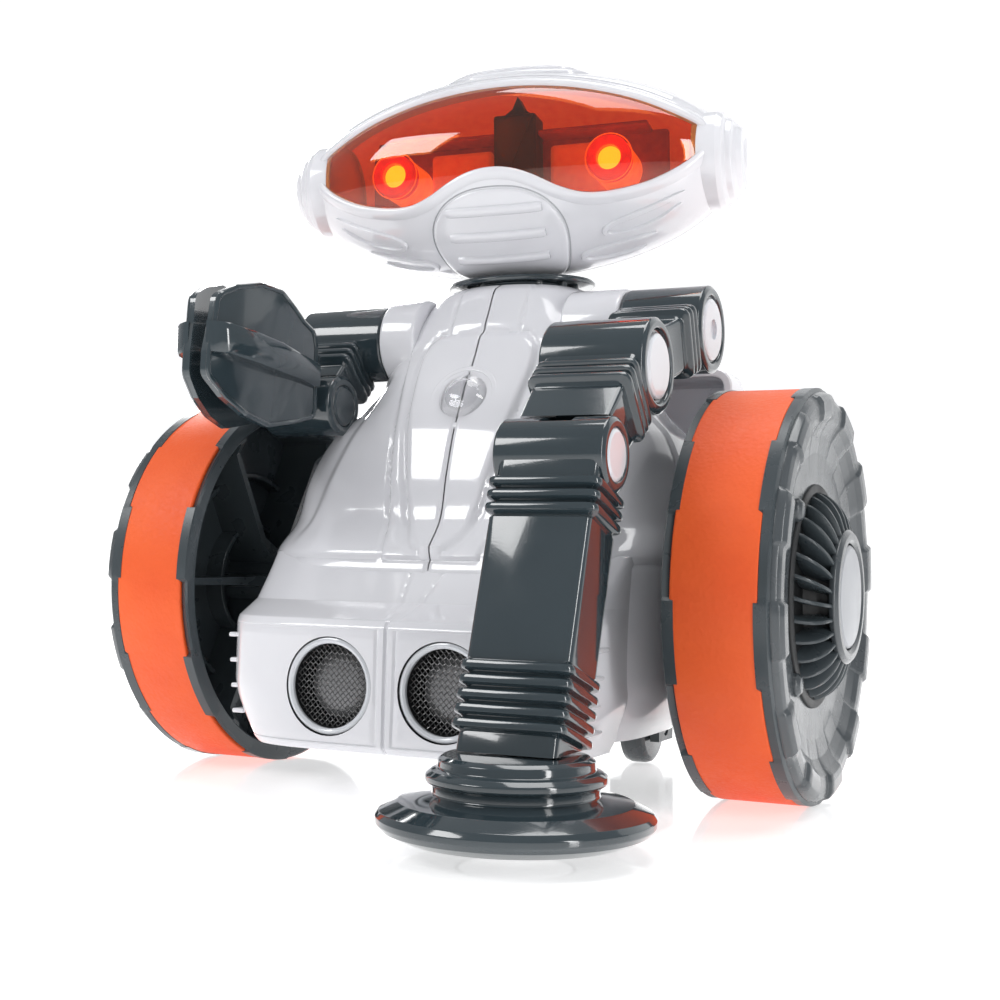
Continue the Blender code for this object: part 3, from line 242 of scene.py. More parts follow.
def finish_piece(obj, material, body, sharp=38.0):
    obj.data.shade_smooth()
    obj.data.set_sharp_from_angle(angle=math.radians(sharp))
    obj.data.materials.clear()
    obj.data.materials.append(material)
    if body:
        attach(obj, body)
    return obj


def carve(obj, *cutters, operation="DIFFERENCE"):
    """Cut obj by guide solids, or keep what they share, and drop the guides."""
    for cutter in cutters:
        step = obj.modifiers.new("carve", "BOOLEAN")
        step.operation = operation
        step.solver = "EXACT"
        step.object = cutter
    bpy.context.view_layer.update()
    view = obj.evaluated_get(bpy.context.evaluated_depsgraph_get())
    mesh = bpy.data.meshes.new_from_object(view)
    obj.modifiers.clear()
    obj.data = mesh
    for cutter in cutters:
        bpy.data.objects.remove(cutter, do_unlink=True)
    return obj


def axes(origin, x, y, z):
    made = Matrix((x, y, z)).transposed().to_4x4()
    made.translation = Vector(origin)
    return made


def across(origin, side):
    """A frame whose Z points out of the robot along X, with Y up."""
    return axes(origin, (0, side, 0), (0, 0, 1), (side, 0, 0))


def fillet(points, radius, closed=False, steps=4):
    """Round a 2-D line's corners. Corners too tight for the radius take a smaller one."""
    points = [Vector(p) for p in points]
    count = len(points)
    result = []
    for i, here in enumerate(points):
        if not closed and i in (0, count - 1):
            result.append(here)
            continue
        before, after = points[i - 1] - here, points[(i + 1) % count] - here
        reach = min(before.length, after.length) * 0.48
        angle = before.angle(after) if before.length * after.length else math.pi
        if angle > math.radians(172) or reach < 0.01:
            result.append(here)
            continue
        length = min(radius / math.tan(angle / 2), reach)
        start, end = here + before.normalized() * length, here + after.normalized() * length
        for k in range(steps + 1):
            t = k / steps
            result.append((1 - t) ** 2 * start + 2 * t * (1 - t) * here + t * t * end)
    return result


def turned(name, profile, material, body, at, radius=0.4, steps=96, closed=False, sharp=38.0):
    """A profile of (radius, height) points spun about the local Z."""
    line = fillet(profile, radius, closed)
    rings = [[(p.x * math.cos(a), p.x * math.sin(a), p.y)
              for a in (2 * math.pi * i / steps for i in range(steps))] for p in line]
    if closed:
        rings.append(rings[0])
    return Form().grid(rings, True, False, False).make(name, material, body, at, sharp)


def inset(outline, amount):
    """The outline moved towards its inside."""
    count = len(outline)
    points = [Vector(p) for p in outline]
    area = sum(points[i].x * points[(i + 1) % count].y - points[(i + 1) % count].x * points[i].y
               for i in range(count))
    result = []
    for i in range(count):
        coming, going = points[i] - points[i - 1], points[(i + 1) % count] - points[i]
        along = (coming.normalized() + going.normalized()).normalized()
        side = Vector((-along.y, along.x)) * (1 if area > 0 else -1)
        result.append(points[i] + side * amount)
    return result


def plate(form, outline, low, high, edge=0.3, at=None, steps=3):
    """A flat outline in XY with thickness along Z and rounded rims."""
    rings = []
    turns = [math.pi / 2 * k / steps for k in range(steps + 1)]
    for height, sign in ((low, 1), (high, -1)):
        for a in turns[::-sign]:
            rings.append([(p.x, p.y, height + sign * edge * (1 - math.sin(a)))
                          for p in inset(outline, edge * (1 - math.cos(a)))])
    return form.grid(rings, at=at)


def soft_box(form, low, high, edge=0.5, at=None):
    """A box with rounded corners in plan and rounded rims."""
    lx, ly, lz = low
    hx, hy, hz = high
    outline = fillet([(lx, ly), (hx, ly), (hx, hy), (lx, hy)], edge, True)
    return plate(form, outline, lz, hz, min(edge, (hz - lz) * 0.45), at)


def rod(low, high, radius, at=None, sides=48, end_radius=None):
    """A plain cylinder along Z, used as a guide solid for carving."""
    top = radius if end_radius is None else end_radius
    rings = [[(r * math.cos(2 * math.pi * i / sides), r * math.sin(2 * math.pi * i / sides), z)
              for i in range(sides)] for z, r in ((low, radius), (high, top))]
    return Form().grid(rings).make("guide", BLACK, None, at)


def guide_box(low, high, at=None):
    rings = [[(low[0], low[1], z), (high[0], low[1], z), (high[0], high[1], z), (low[0], high[1], z)]
             for z in (low[2], high[2])]
    return Form().grid(rings).make("guide", BLACK, None, at)


def tube(form, points, radius, at=None, closed=False, sides=10, flat=1.0, normals=None):
    """A rounded bead along a 3-D line; flat squeezes it along the given normals."""
    points = [Vector(p) for p in points]
    count = len(points)
    rings = []
    for i, here in enumerate(points):
        before = points[i - 1] if closed or i else here
        after = points[(i + 1) % count] if closed or i < count - 1 else here
        along = (after - before).normalized()
        up = Vector(normals[i]) if normals else Vector((0, 0, 1))
        across = along.cross(up).normalized()
        up = across.cross(along).normalized()
        size = radius(i / (count - 1)) if callable(radius) else radius
        rings.append([here + (across * math.cos(2 * math.pi * k / sides)
                              + up * flat * math.sin(2 * math.pi * k / sides)) * size for k in range(sides)])
    if closed:
        rings.append(rings[0])
    return form.grid(rings, True, not closed, not closed, at)


def smooth_line(points, steps=6, closed=False):
    """A Catmull-Rom line through the points."""
    points = [Vector(p) for p in points]
    count = len(points)
    result = []
    for i in range(count if closed else count - 1):
        def pick(k):
            return points[k % count] if closed else points[min(max(k, 0), count - 1)]
        a, b, c, d = pick(i - 1), pick(i), pick(i + 1), pick(i + 2)
        for k in range(steps):
            t = k / steps
            result.append(0.5 * (2 * b + (c - a) * t + (2 * a - 5 * b + 4 * c - d) * t * t
                                 + (3 * b - a - 3 * c + d) * t ** 3))
    if not closed:
        result.append(points[-1])
    return result


def mirrored(half):
    """A closed outline from its right half, which starts and ends on the middle line."""
    return list(half) + [(-x, z) for x, z in reversed(half) if x]


def ease(value, low, high):
    t = min(max((value - low) / (high - low), 0.0), 1.0)
    return t * t * (3 - 2 * t)


# ---------------------------------------------------------------- body shell

def level_at(z):
    """The section's size at a height, smoothly between the stated levels."""
    levels = BODY_LEVELS
    for i in range(len(levels) - 1):
        if z <= levels[i + 1][0] or i == len(levels) - 2:
            low, high = levels[i], levels[i + 1]
            before, after = levels[max(i - 1, 0)], levels[min(i + 2, len(levels) - 1)]
            width = high[0] - low[0]
            t = min(max((z - low[0]) / width, 0.0), 1.0)
            result = []
            for k in range(1, 5):
                first = (high[k] - before[k]) / (high[0] - before[0]) * width
                last = (after[k] - low[k]) / (after[0] - low[0]) * width
                result.append((2 * t ** 3 - 3 * t * t + 1) * low[k] + (t ** 3 - 2 * t * t + t) * first
                              + (3 * t * t - 2 * t ** 3) * high[k] + (t ** 3 - t * t) * last)
            return result


def groove(distance, width, depth):
    """A rounded line pressed into the surface, at a distance from its middle."""
    return -depth * max(0.0, 1 - (distance / width) ** 2) ** 0.5 if abs(distance) < width else 0.0


def line_x(points, z):
    """Where a line of (x, z) points crosses height z, or None beyond its ends."""
    for (x0, z0), (x1, z1) in zip(points, points[1:]):
        if min(z0, z1) <= z <= max(z0, z1) and z0 != z1:
            return x0 + (x1 - x0) * (z - z0) / (z1 - z0)
    return None


SHIELD_EDGE = smooth_line(SHIELD_HALF, 5)
OUTER_EDGE = smooth_line([(19.8, 103.5), (19.3, 98.0), (18.4, 92.0), (16.4, 82.0), (15.0, 70.0), (13.6, 60.0),
                          (11.6, 51.5)], 5)
FLANK_EDGE = smooth_line([(24.5, 98.0), (26.5, 88.0), (30.5, 77.0), (34.5, 66.0), (38.0, 56.0),
                          (39.0, 52.0)], 5)


def shield_depth(x, z):
    """Distance inside the chest shield's edge, negative outside."""
    here = Vector((abs(x), z))
    nearest = min((here - (a + (b - a) * min(max((here - a).dot(b - a) / (b - a).length_squared, 0),
                                             1))).length
                  for a, b in zip(SHIELD_EDGE, SHIELD_EDGE[1:]))
    edge = line_x([(p.x, p.y) for p in SHIELD_EDGE], z)
    return nearest if edge is not None and abs(x) < edge else -nearest


def relief(x, z, front):
    """How far the front stands out of the plain form, at a point."""
    lift = 0.0
    side = abs(x)
    if front and 50 < z < 117:
        depth = shield_depth(x, z)
        lift += 1.1 * ease(depth, -0.3, 1.3) + groove(depth + 0.75, 0.75, 0.45)
        edge = line_x([(p.x, p.y) for p in OUTER_EDGE], z)
        if edge:
            lift += 0.75 * ease(edge - side, -0.3, 0.9) + groove(side - edge - 0.3, 0.6, 0.3)
        elif z > 103.5:
            lift += 0.75 * ease(19.5 - side, -0.3, 0.9)
        edge = line_x([(p.x, p.y) for p in FLANK_EDGE], z)
        if edge:
            fade = ease(z, 52, 60) * (1 - ease(z, 92, 98))
            lift += 1.0 * fade * ease(edge - side, -1.8, 1.8) - 1.0 * fade
    if z > 105.2 and front:
        lift += groove(side - 8.8, 0.45, 0.4)
    lift += groove(z - 104.9, 0.55, 0.22) if front and side < 19 else 0.0
    lift += groove(z - 51.2, 0.6, 0.45)
    return lift


def body_shell(side):
    word = "left" if side > 0 else "right"
    front_n, side_n, back_n = 62, 40, 22
    heights = [13 + 2.2 * i / 3 for i in range(3)] + [15.4 + 1.05 * i for i in range(98)]
    heights = [z for z in heights if z < 117.3] + [117.4]

    def ring(z, grow=0.0, closing=0.0):
        half, front, back, power = level_at(z)
        half, front, back = half + grow, front - grow, back + grow
        middle, depth = (front + back) / 2, (back - front) / 2
        corner = 0.5 ** (1 / power)
        points = []
        for k in range(front_n + side_n + back_n + 1):
            if k <= front_n:
                fx = corner * k / front_n
                fy = -(1 - fx ** power) ** (1 / power)
            elif k <= front_n + side_n:
                fy = corner * (2 * (k - front_n) / side_n - 1)
                fx = (1 - abs(fy) ** power) ** (1 / power)
            else:
                fx = corner * (1 - (k - front_n - side_n) / back_n)
                fy = (1 - fx ** power) ** (1 / power)
            x, y = half * fx, middle + depth * fy
            if not grow and not closing:
                lift = relief(x * side, z, fy < -0.3)
                lift -= 0.3 * (1 - ease(x, 0.0, 0.5))
                normal = Vector((fx / half, fy / depth)).normalized()
                x, y = x + normal.x * lift, y + normal.y * lift
            x, y = x + (0 - x) * closing, y + (14.0 - y) * closing
            points.append((side * max(x, 0.0) + side * SEAM, y, z))
        return points

    rings = [ring(z) for z in heights]
    for k in range(1, 9):
        closing = 0.75 * k / 8
        row = ring(117.4, 0.0, closing)
        rings.append([(x, y, 117.4 + 0.5 * math.sin(math.pi / 2 * k / 8)) for x, y, z in row])
    inner = [ring(z, -1.8) for z in heights[2::4]]
    rings += inner[::-1]
    rings.append(rings[0])
    shell = Form().grid(rings, False, False, False).make("shell_" + word, WHITE, "base")
    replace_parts(shell, "body_shell_" + word)
    face = 32.9 if side > 0 else 28.6
    turned("shoulder_pod_" + word, [(0, 19.0), (10.4, 19.0), (10.3, face), (8.2, face), (8.0, face - 0.5),
                                    (2.6, face - 0.5), (2.6, 19.0)], WHITE, "base",
           across((0, *SHOULDER), side), 0.9)


for sign in (1, -1):
    body_shell(sign)

# ---------------------------------------------------------------- sensor housing

def housing():
    profile = fillet([(-20.0, 54.6), (-30.2, 52.6), (-42.5, 41.9), (-51.6, 38.4), (-52.7, 37.0),
                      (-53.0, 12.2),
                      (-51.6, 10.8), (-20.0, 10.8)], 1.2, False, 5)
    line = []
    for a, b in zip(profile, profile[1:]):
        cuts = max(1, int((b - a).length / 1.0))
        line += [a + (b - a) * k / cuts for k in range(cuts)]
    line.append(profile[-1])
    back, front_n, side_n = -22.0, 70, 26
    power = 5.0
    corner = 0.5 ** (1 / power)
    rings = []
    for p in line:
        half = 44.4 - 7.6 * (1 - ease(p.y, 6.0, 25.0))
        depth = back - p.x
        ring = []
        for k in range(-front_n - side_n, front_n + side_n + 1):
            i = abs(k)
            if i <= front_n:
                fx = corner * i / front_n
                fy = (1 - fx ** power) ** (1 / power)
            else:
                fy = corner * (1 - (i - front_n) / side_n)
                fx = (1 - fy ** power) ** (1 / power)
            x = math.copysign(half * fx, k)
            lift = 0.0
            if p.x < -51.0:
                lift += groove(x, 0.45, 0.5)
                frame_x = abs(abs(x) - 21.6) - 19.4
                frame_z = abs(p.y - 24.6) - 11.6
                lift += groove(max(frame_x, frame_z), 0.5, 0.35)
            elif p.x < -30.5:
                lift += groove(abs(x) - 5.0 + (52.6 - p.y) * 0.24, 0.5, 0.35)
            ring.append((x, back - (depth + lift) * fy, p.y))
        rings.append(ring)
    shell = Form().grid(rings, True).make("sensor_housing_shell", WHITE)
    for side in (1, -1):
        at = axes((side * SONAR_X, -52.0, SONAR_Z), (1, 0, 0), (0, 0, 1), (0, -1, 0))
        carve(shell, rod(-9.0, 5.0, 9.25, at), rod(-0.9, 5.0, 10.4, at))
    finish_piece(shell, WHITE, "base", 30.0)
    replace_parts(shell, "sensor_housing")
    clips = Form()
    for side in (1, -1):
        for number in range(4):
            z = 17.0 + number * 5.6
            soft_box(clips, (-1.5, -3.4, -0.5), (1.5, 3.4, 0.5), 0.35,
                     axes((side * (41.3 + number * 0.45), -42.0, z), (1, 0, 0), (0, 1, 0), (0, 0, 1)))
    clips.make("housing_clips", WHITE, "base")


def sonar(side):
    word = "left" if side > 0 else "right"
    at = axes((side * SONAR_X, -52.1, SONAR_Z), (1, 0, 0), (0, 0, 1), (0, -1, 0))
    ring = turned("sonar_bezel_" + word, [(10.2, -0.7), (10.2, 0.25), (9.5, 0.5), (8.9, 0.1), (8.8, -1.6),
                                          (9.2, -1.6)],
                  PALE, "base", at, 0.25, 96, True)
    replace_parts(ring, "sonar_ring_" + word)
    turned("sonar_well_" + word, [(8.75, -0.4), (8.75, -8.6), (0.0, -8.7)], BLACK, "base", at, 0.3, 64)
    face = turned("sonar_cup_" + word, [(0.0, -3.6), (5.2, -3.9), (6.9, -4.9), (7.6, -6.2), (7.7, -8.4),
                                        (0.0, -8.4)],
                  SENSOR, "base", at, 0.8, 72)
    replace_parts(face, "range_sensor_" + word)
    wires = Form()
    pitch, radius = 0.92, 8.7
    count = int(radius / pitch)
    for turn in (0, 1):
        angle = math.radians(42 + 90 * turn)
        along = Vector((math.cos(angle), math.sin(angle), 0))
        off = Vector((-along.y, along.x, 0))
        for number in range(-count, count + 1):
            reach = math.sqrt(radius ** 2 - (number * pitch) ** 2)
            steps = max(4, int(reach * 2 / (pitch / 2)))
            points = []
            for k in range(steps + 1):
                s = -reach + 2 * reach * k / steps
                wave = 0.1 * math.cos(math.pi * (s / pitch + number + turn))
                points.append(off * number * pitch + along * s + Vector((0, 0, -1.35 + wave)))
            tube(wires, points, 0.12, at, sides=5)
    wires.make("sonar_mesh_" + word, WIRE, "base", sharp=60)


housing()
for sign in (1, -1):
    sonar(sign)


def chest_lens():
    at = axes(LENS, (1, 0, 0), (0, 1, 0), (0, 0, 1)) @ Matrix.Rotation(LENS_TILT, 4, "X")
    turned("lens_bezel", [(8.7, -2.0), (8.7, 0.5), (8.2, 1.0), (7.2, 1.05), (6.7, 0.5), (6.5, -0.6),
                          (6.5, -2.0)],
                  WHITE, "base", at, 0.4, 96, True)
    dome = turned("lens_dome", [(0.0, 3.9), (2.4, 3.6), (4.4, 2.7), (5.8, 1.3), (6.3, 0.0), (6.3, -1.4),
                                (5.2, -1.4),
                                (5.0, 0.2), (3.6, 1.4), (0.0, 2.2)], CLEAR, "base", at, 0.9, 72)
    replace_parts(dome, "chest_lens")
    turned("lens_reflector", [(6.4, -0.4), (4.6, -1.5), (2.2, -1.9), (1.6, -0.9), (0.0, -0.6)], PALE,
           "base", at,
           0.4, 64)


chest_lens()


# ---------------------------------------------------------------- wheels

def wheel(side):
    word = "left" if side > 0 else "right"
    body = "wheel_" + word
    at = across((0, 0, 45), side)
    band = turned("tread_" + word, [(44.85, 76.1), (44.85, 58.4), (43.3, 58.4), (43.3, 76.1)], ORANGE, body,
                  at,
                  0.5, 192, True)
    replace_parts(band, "tyre_" + word)

    def rim_radius(a, low, high, count, share):
        phase = (a / (2 * math.pi) * count) % 1.0
        return low + (high - low) * ease(phase, 0.0, 0.02) * (1 - ease(phase, share, share + 0.02))

    steps = 384
    rings = []
    profile = [(6.5, 54.4), (6.5, 73.2), (40.8, 73.2), (41.2, 57.0), (41.6, 56.6), (44.2, 56.6),
               ("inner", 57.0),
               ("inner", 59.3), (43.4, 59.3), (43.4, 75.0), ("outer", 75.2), ("outer", 76.15),
               ("outer", 77.8), (44.2, 78.2),
               (42.4, 78.4), (42.2, 75.4), (2.3, 75.4), (2.3, 54.4)]
    for r, z in profile:
        ring = []
        for i in range(steps):
            a = 2 * math.pi * i / steps
            size = r
            if r == "inner":
                size = rim_radius(a, 44.75 if z < 58 else 43.4, 44.98, 8, 0.5)
            elif r == "outer":
                size = rim_radius(a, 44.82 if z > 76 else 43.4, 44.98, 8, 0.5)
            ring.append((size * math.cos(a), size * math.sin(a), z))
        rings.append(ring)
    rings.append(rings[0])
    rim = Form().grid(rings, True, False, False).make("rim_" + word, SEMI, body, at, 30)
    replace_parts(rim, "wheel_rim_" + word)

    ribs = Form()
    for number in range(6):
        spin = at @ Matrix.Rotation(number * math.pi / 3, 4, "Z")
        rings = []
        for r, half in ((6.2, 1.6), (12.0, 1.0), (36.0, 0.8), (39.0, 1.3), (41.3, 2.2)):
            low = 58.2 if r < 10 else 62.0 if r < 38 else 59.4
            rings.append([(r, -half, low), (r, half, low), (r, half, 73.6), (r, -half, 73.6)])
        ribs.grid(rings, at=spin)
    for r, low in ((14.0, 68.5), (27.0, 70.0)):
        ring = fillet([(r - 0.6, 73.4), (r - 0.6, low), (r + 0.6, low), (r + 0.6, 73.4)], 0.3)
        ribs.grid([[(p.x * math.cos(2 * math.pi * i / 72), p.x * math.sin(2 * math.pi * i / 72), p.y)
                    for i in range(72)] for p in ring], True, False, False, at)
    ribs.make("rim_ribs_" + word, SEMI, body)

    raised = [(42.0, 75.6), (43.9, 76.6), (44.1, 78.6), (43.6, 80.0), (42.4, 80.7), (40.0, 80.75),
              (38.6, 80.5),
              (37.4, 79.3), (35.0, 77.9), (31.0, 77.1), (27.0, 77.0), (24.0, 76.8), (22.8, 75.8)]
    sunk = [(42.0, 75.6), (43.8, 76.6), (43.9, 78.3), (43.2, 79.4), (42.0, 79.9), (39.9, 79.95), (38.4, 79.7),
            (37.2, 78.8), (35.0, 77.7), (31.0, 77.05), (27.0, 77.0), (24.0, 76.8), (22.8, 75.8)]
    raised, sunk = fillet(raised, 0.9, False, 3), fillet(sunk, 0.9, False, 3)
    blocks = 12
    samples = [k / 10 for k in range(1, 5)]
    angles = []
    for number in range(blocks):
        for start, level in ((0.0, 1.0), (0.5, 0.0)):
            base = (number + start) / blocks
            span = 0.5 / blocks
            angles += [(base + span * f, 1.0 - level + (2 * level - 1) * ease(f, 0.0, 0.1))
                       for f in (0.0, 0.03, 0.06, 0.1)]
            angles += [(base + span * (0.1 + 2.2 * s), level) for s in samples]
    rings = []
    for turn, level in angles:
        a = 2 * math.pi * turn
        rings.append([((q + (p - q) * level).x * math.cos(a), (q + (p - q) * level).x * math.sin(a),
                       (q + (p - q) * level).y) for p, q in zip(raised, sunk)])
    rings.append(rings[0])
    face = Form().grid(rings, False, False, False).make("wheel_blocks_" + word, GREY, body, at, 42)
    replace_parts(face, "wheel_face_" + word)
    knobs = Form()
    for number in range(4):
        a = math.pi / 4 + number * math.pi / 2
        middle = Vector((math.cos(a) * 25.4, math.sin(a) * 25.4, 0))
        line = fillet([(0.0, 78.5), (1.6, 78.4), (2.4, 77.6), (2.7, 76.2)], 0.6)
        knobs.grid([[(middle.x + p.x * math.cos(2 * math.pi * i / 28),
                      middle.y + p.x * math.sin(2 * math.pi * i / 28),
                      p.y) for i in range(28)] for p in line], True, False, False, at)
    knobs.make("wheel_bosses_" + word, GREY, body)

    fins = Form()
    count = 30
    curve = smooth_line([(22.6, 76.9), (21.9, 78.8), (20.2, 80.9), (17.6, 82.6), (14.6, 83.6),
                         (13.4, 83.9)], 3)
    for number in range(count):
        rings = []
        for k, p in enumerate(curve):
            swirl = 0.16 * (k / (len(curve) - 1)) ** 1.3
            a = 2 * math.pi * number / count + swirl
            out = Vector((math.cos(a), math.sin(a), 0))
            turn = Vector((-out.y, out.x, 0))
            low = max(76.9, p.y - 4.2)
            half = 0.42 if k < len(curve) - 1 else 0.6
            ring = []
            for s, t in ((-1, 0.25), (-0.6, 0.0), (0.6, 0.0), (1, 0.25)):
                ring.append(out * (p.x - t * 0.5) + turn * half * s + Vector((0, 0, p.y - t * 0.6)))
            ring.append(out * max(p.x - 4.2, 10.5) + turn * half + Vector((0, 0, low)))
            ring.append(out * max(p.x - 4.2, 10.5) - turn * half + Vector((0, 0, low)))
            rings.append(ring)
        fins.grid(rings, at=at)
    fins.make("turbine_fins_" + word, SEMI, body, sharp=50)
    core = turned("turbine_core_" + word, [(24.2, 75.9), (24.2, 77.3), (22.6, 77.6), (20.6, 76.9),
                                           (14.5, 77.4),
                                           (12.6, 80.5), (12.2, 82.6), (0.0, 82.6)], BLACK, body, at, 0.5, 96)
    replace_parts(core, "hub_fins_" + word)
    turned("hub_bezel_" + word, [(12.0, 82.0), (14.3, 82.8), (14.5, 83.9), (13.6, 84.7), (12.2, 84.75),
                                 (11.4, 84.2),
                                 (11.2, 82.4)], GREY, body, at, 0.5, 96, True)
    cap = turned("hub_disc_" + word, [(0.0, 84.95), (6.0, 84.85), (10.4, 84.6), (11.1, 84.1), (11.1, 82.8),
                                      (0.0, 82.8)], CAP, body, at, 0.5, 96)
    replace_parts(cap, "hub_cap_" + word)


for sign in (1, -1):
    wheel(sign)


# ---------------------------------------------------------------- head

def on_head(x, turn, lift=0.0):
    """A point of the head's ball: x across, turn in degrees from straight ahead and down, and its normal."""
    a, b, c = HEAD_RADII
    r = math.sqrt(max(1 - (x / a) ** 2, 0.0))
    p = Vector((x, -b * r * math.cos(math.radians(turn)), -c * r * math.sin(math.radians(turn))))
    normal = Vector((p.x / a ** 2, p.y / b ** 2, p.z / c ** 2)).normalized()
    return p + normal * lift, normal


def ahead(x, z, lift=0.0):
    """The same, for a point given by its x and z in the head's front view."""
    r = HEAD_RADII[2] * math.sqrt(max(1 - (x / HEAD_RADII[0]) ** 2, 0.0))
    return on_head(x, math.degrees(math.asin(max(min(-z / r, 1.0), -1.0))), lift)


def ball(shrink=0.0, around=128, along=64):
    """The head's whole ball, or a smaller one inside it."""
    a, b, c = HEAD_RADII - Vector((shrink, shrink, shrink))
    turns = [2 * math.pi * i / around for i in range(around)]
    rings = []
    for k in range(1, along):
        x = -math.cos(math.pi * k / along)
        r = math.sqrt(1 - x * x)
        rings.append([(x * a, r * math.cos(t) * b, r * math.sin(t) * c) for t in turns])
    return Form().grid(rings).make("ball", WHITE, None, HEAD)


def head_prism(outline, near, far):
    rings = [[(p[0], y, p[1]) for p in outline] for y in (near, far)]
    return Form().grid(rings).make("guide", BLACK, None, HEAD)


def bead(form, line, section, closed=True, flip=1.0):
    """A moulded edge along a line of (x, z) points on the face: section is (outwards, lift) points."""
    count = len(line)
    rings = []
    for i, (x, z) in enumerate(line):
        here, normal = ahead(x, z)
        before = ahead(*line[i - 1])[0] if closed or i else here
        after = ahead(*line[(i + 1) % count])[0] if closed or i < count - 1 else here
        out = (after - before).normalized().cross(normal) * flip
        rings.append([here + out * o + normal * lift for o, lift in section])
    if closed:
        rings.append(rings[0])
    return form.grid(rings, True, not closed, not closed)


def rib_on_face(form, line, width, lift, low=-0.6, soft_end=0.25):
    """A raised rounded rib along a line of (x, turn) points on the ball."""
    rings = []
    for i, (x, turn) in enumerate(line):
        here, normal = on_head(x, turn)
        before, after = on_head(*line[max(i - 1, 0)])[0], on_head(*line[min(i + 1, len(line) - 1)])[0]
        side = (after - before).normalized().cross(normal)
        fade = min(1.0, soft_end + i / 3.0, soft_end + (len(line) - 1 - i) / 3.0)
        rings.append([here + side * width * s * fade + normal * (low + (lift - low) * t * (0.6 + 0.4 * fade))
                      for s, t in ((-1, 0), (-0.97, 0.75), (-0.72, 0.98), (0, 1.0), (0.72, 0.98),
                                   (0.97, 0.75), (1, 0))])
    return form.grid(rings)


def head_shells(visor_edge):
    front = ball()
    carve(front, ball(2.2, 64, 32), guide_box((-80, 1.8, -40), (80, 60, 40), HEAD),
          head_prism(visor_edge, -40, -1))
    finish_piece(front, WHITE, "head", 30)
    front.name = "face_shell"
    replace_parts(front, "head_front")
    rear = ball()
    carve(rear, ball(2.2, 64, 32), guide_box((-80, -60, -40), (80, 2.15, 40), HEAD), rod(-40, 0, 4.6, NECK))
    finish_piece(rear, WHITE, "head", 30)
    rear.name = "nape_shell"
    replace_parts(rear, "head_rear")

    glass = ball(0.5)
    carve(glass, ball(1.9))
    inner = [(p.x, p.y) for p in inset(visor_edge, 0.25)]
    carve(glass, head_prism(inner, -40, -1.5), operation="INTERSECT")
    finish_piece(glass, VISOR, "head", 30)
    glass.name = "visor_glass"
    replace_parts(glass, "visor")


def visor_trim(visor_edge):
    """The rounded white edge of the window, and the second line above it."""
    trim = Form()
    bead(trim, visor_edge, [(-0.2, -1.6), (-0.25, 0.1), (0.05, 0.55), (0.7, 0.75), (1.5, 0.5), (2.4, 0.12),
                            (3.0, -0.5)])
    upper = sorted((x, z + 3.2) for x, z in visor_edge if z > 9.2)
    bead(trim, upper, [(-1.1, -0.5), (-0.8, 0.25), (0.0, 0.45), (1.6, 0.25), (2.6, -0.4)], False, -1.0)
    trim.make("visor_trim", WHITE, "head", HEAD, 50)


def chin_piece():
    chin_line = smooth_line([(0.0, 18.5), (7.0, 20.5), (12.6, 28.0), (15.8, 41.0), (15.8, 59.0), (12.8, 84.0),
                             (7.0, 93.0), (0.0, 95.0), (-7.0, 93.0), (-12.8, 84.0), (-15.8, 59.0),
                             (-15.8, 41.0),
                             (-12.6, 28.0), (-7.0, 20.5)], 6, True)
    middle = Vector((0.0, 55.0))
    rings = []
    for share, lift in ((1.0, -0.7), (1.0, 0.2), (0.985, 0.55), (0.96, 0.7), (0.9, 0.75), (0.75, 0.75),
                        (0.5, 0.75),
                        (0.25, 0.75), (0.04, 0.75)):
        rings.append([on_head(*(middle + (p - middle) * share), lift)[0] for p in chin_line])
    chin = Form().grid(rings, low_cap=False).make("chin", WHITE, "head", HEAD)
    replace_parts(chin, "chin_plate")
    groove_line = [on_head(p.x * 1.03, 55 + (p.y - 55) * 1.03, -0.02) for p in chin_line]
    tube(Form(), [p for p, n in groove_line], 0.17, closed=True, sides=6,
         normals=[n for p, n in groove_line]).make("chin_gap", CAP, "head", HEAD)
    ribs = Form()
    for turn, half in ((30.0, 11.6), (44.7, 11.6), (60.7, 11.2)):
        rib_on_face(ribs, [(-half + 2 * half * k / 24, turn) for k in range(25)], 1.15, 1.8, 0.3, 0.85)
    ribs.make("chin_ribs", WHITE, "head", HEAD, 50)


def cheek_ridges():
    whiskers = Form()
    for side in (1, -1):
        for loop in (((43.5, 38), (38, 42.5), (31, 46), (26.5, 49), (24.8, 53), (27, 57), (32, 58),
                      (38, 55), (42.5, 48)),
                     ((36, 67), (29, 66), (21, 67), (18.5, 70), (20, 75), (27, 79), (33, 79))):
            line = [(side * p.x, p.y) for p in smooth_line(loop, 4)]
            rib_on_face(whiskers, line, 0.7, 0.75, -0.3)
    whiskers.make("cheek_ridges", WHITE, "head", HEAD, 50)


def crown_piece():
    """Two steps of a rounded oblong on top of the ball."""
    crown = Form()
    for scale, lifts in ((1.0, ((1.0, -0.6), (1.0, 0.7), (0.97, 1.05), (0.92, 1.15))),
                         (0.86, ((1.0, 0.9), (1.0, 1.6), (0.97, 1.85), (0.93, 1.95), (0.7, 1.98), (0.4, 1.98),
                                 (0.05, 1.98)))):
        rings = []
        for share, lift in lifts:
            ring = []
            for i in range(72):
                a = 2 * math.pi * i / 72
                c, s = math.cos(a), math.sin(a)
                x = math.copysign(abs(c) ** 0.8, c) * 19.6 * scale * share
                y = 3.4 + math.copysign(abs(s) ** 0.8, s) * 12.6 * scale * share
                z = HEAD_RADII[2] * math.sqrt(1 - (x / HEAD_RADII[0]) ** 2 - (y / HEAD_RADII[1]) ** 2)
                ring.append((x, y, min(z + lift, 26.55)))
            rings.append(ring)
        crown.grid(rings, low_cap=False)
    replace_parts(crown.make("crown", WHITE, "head", HEAD), "crown_plate")


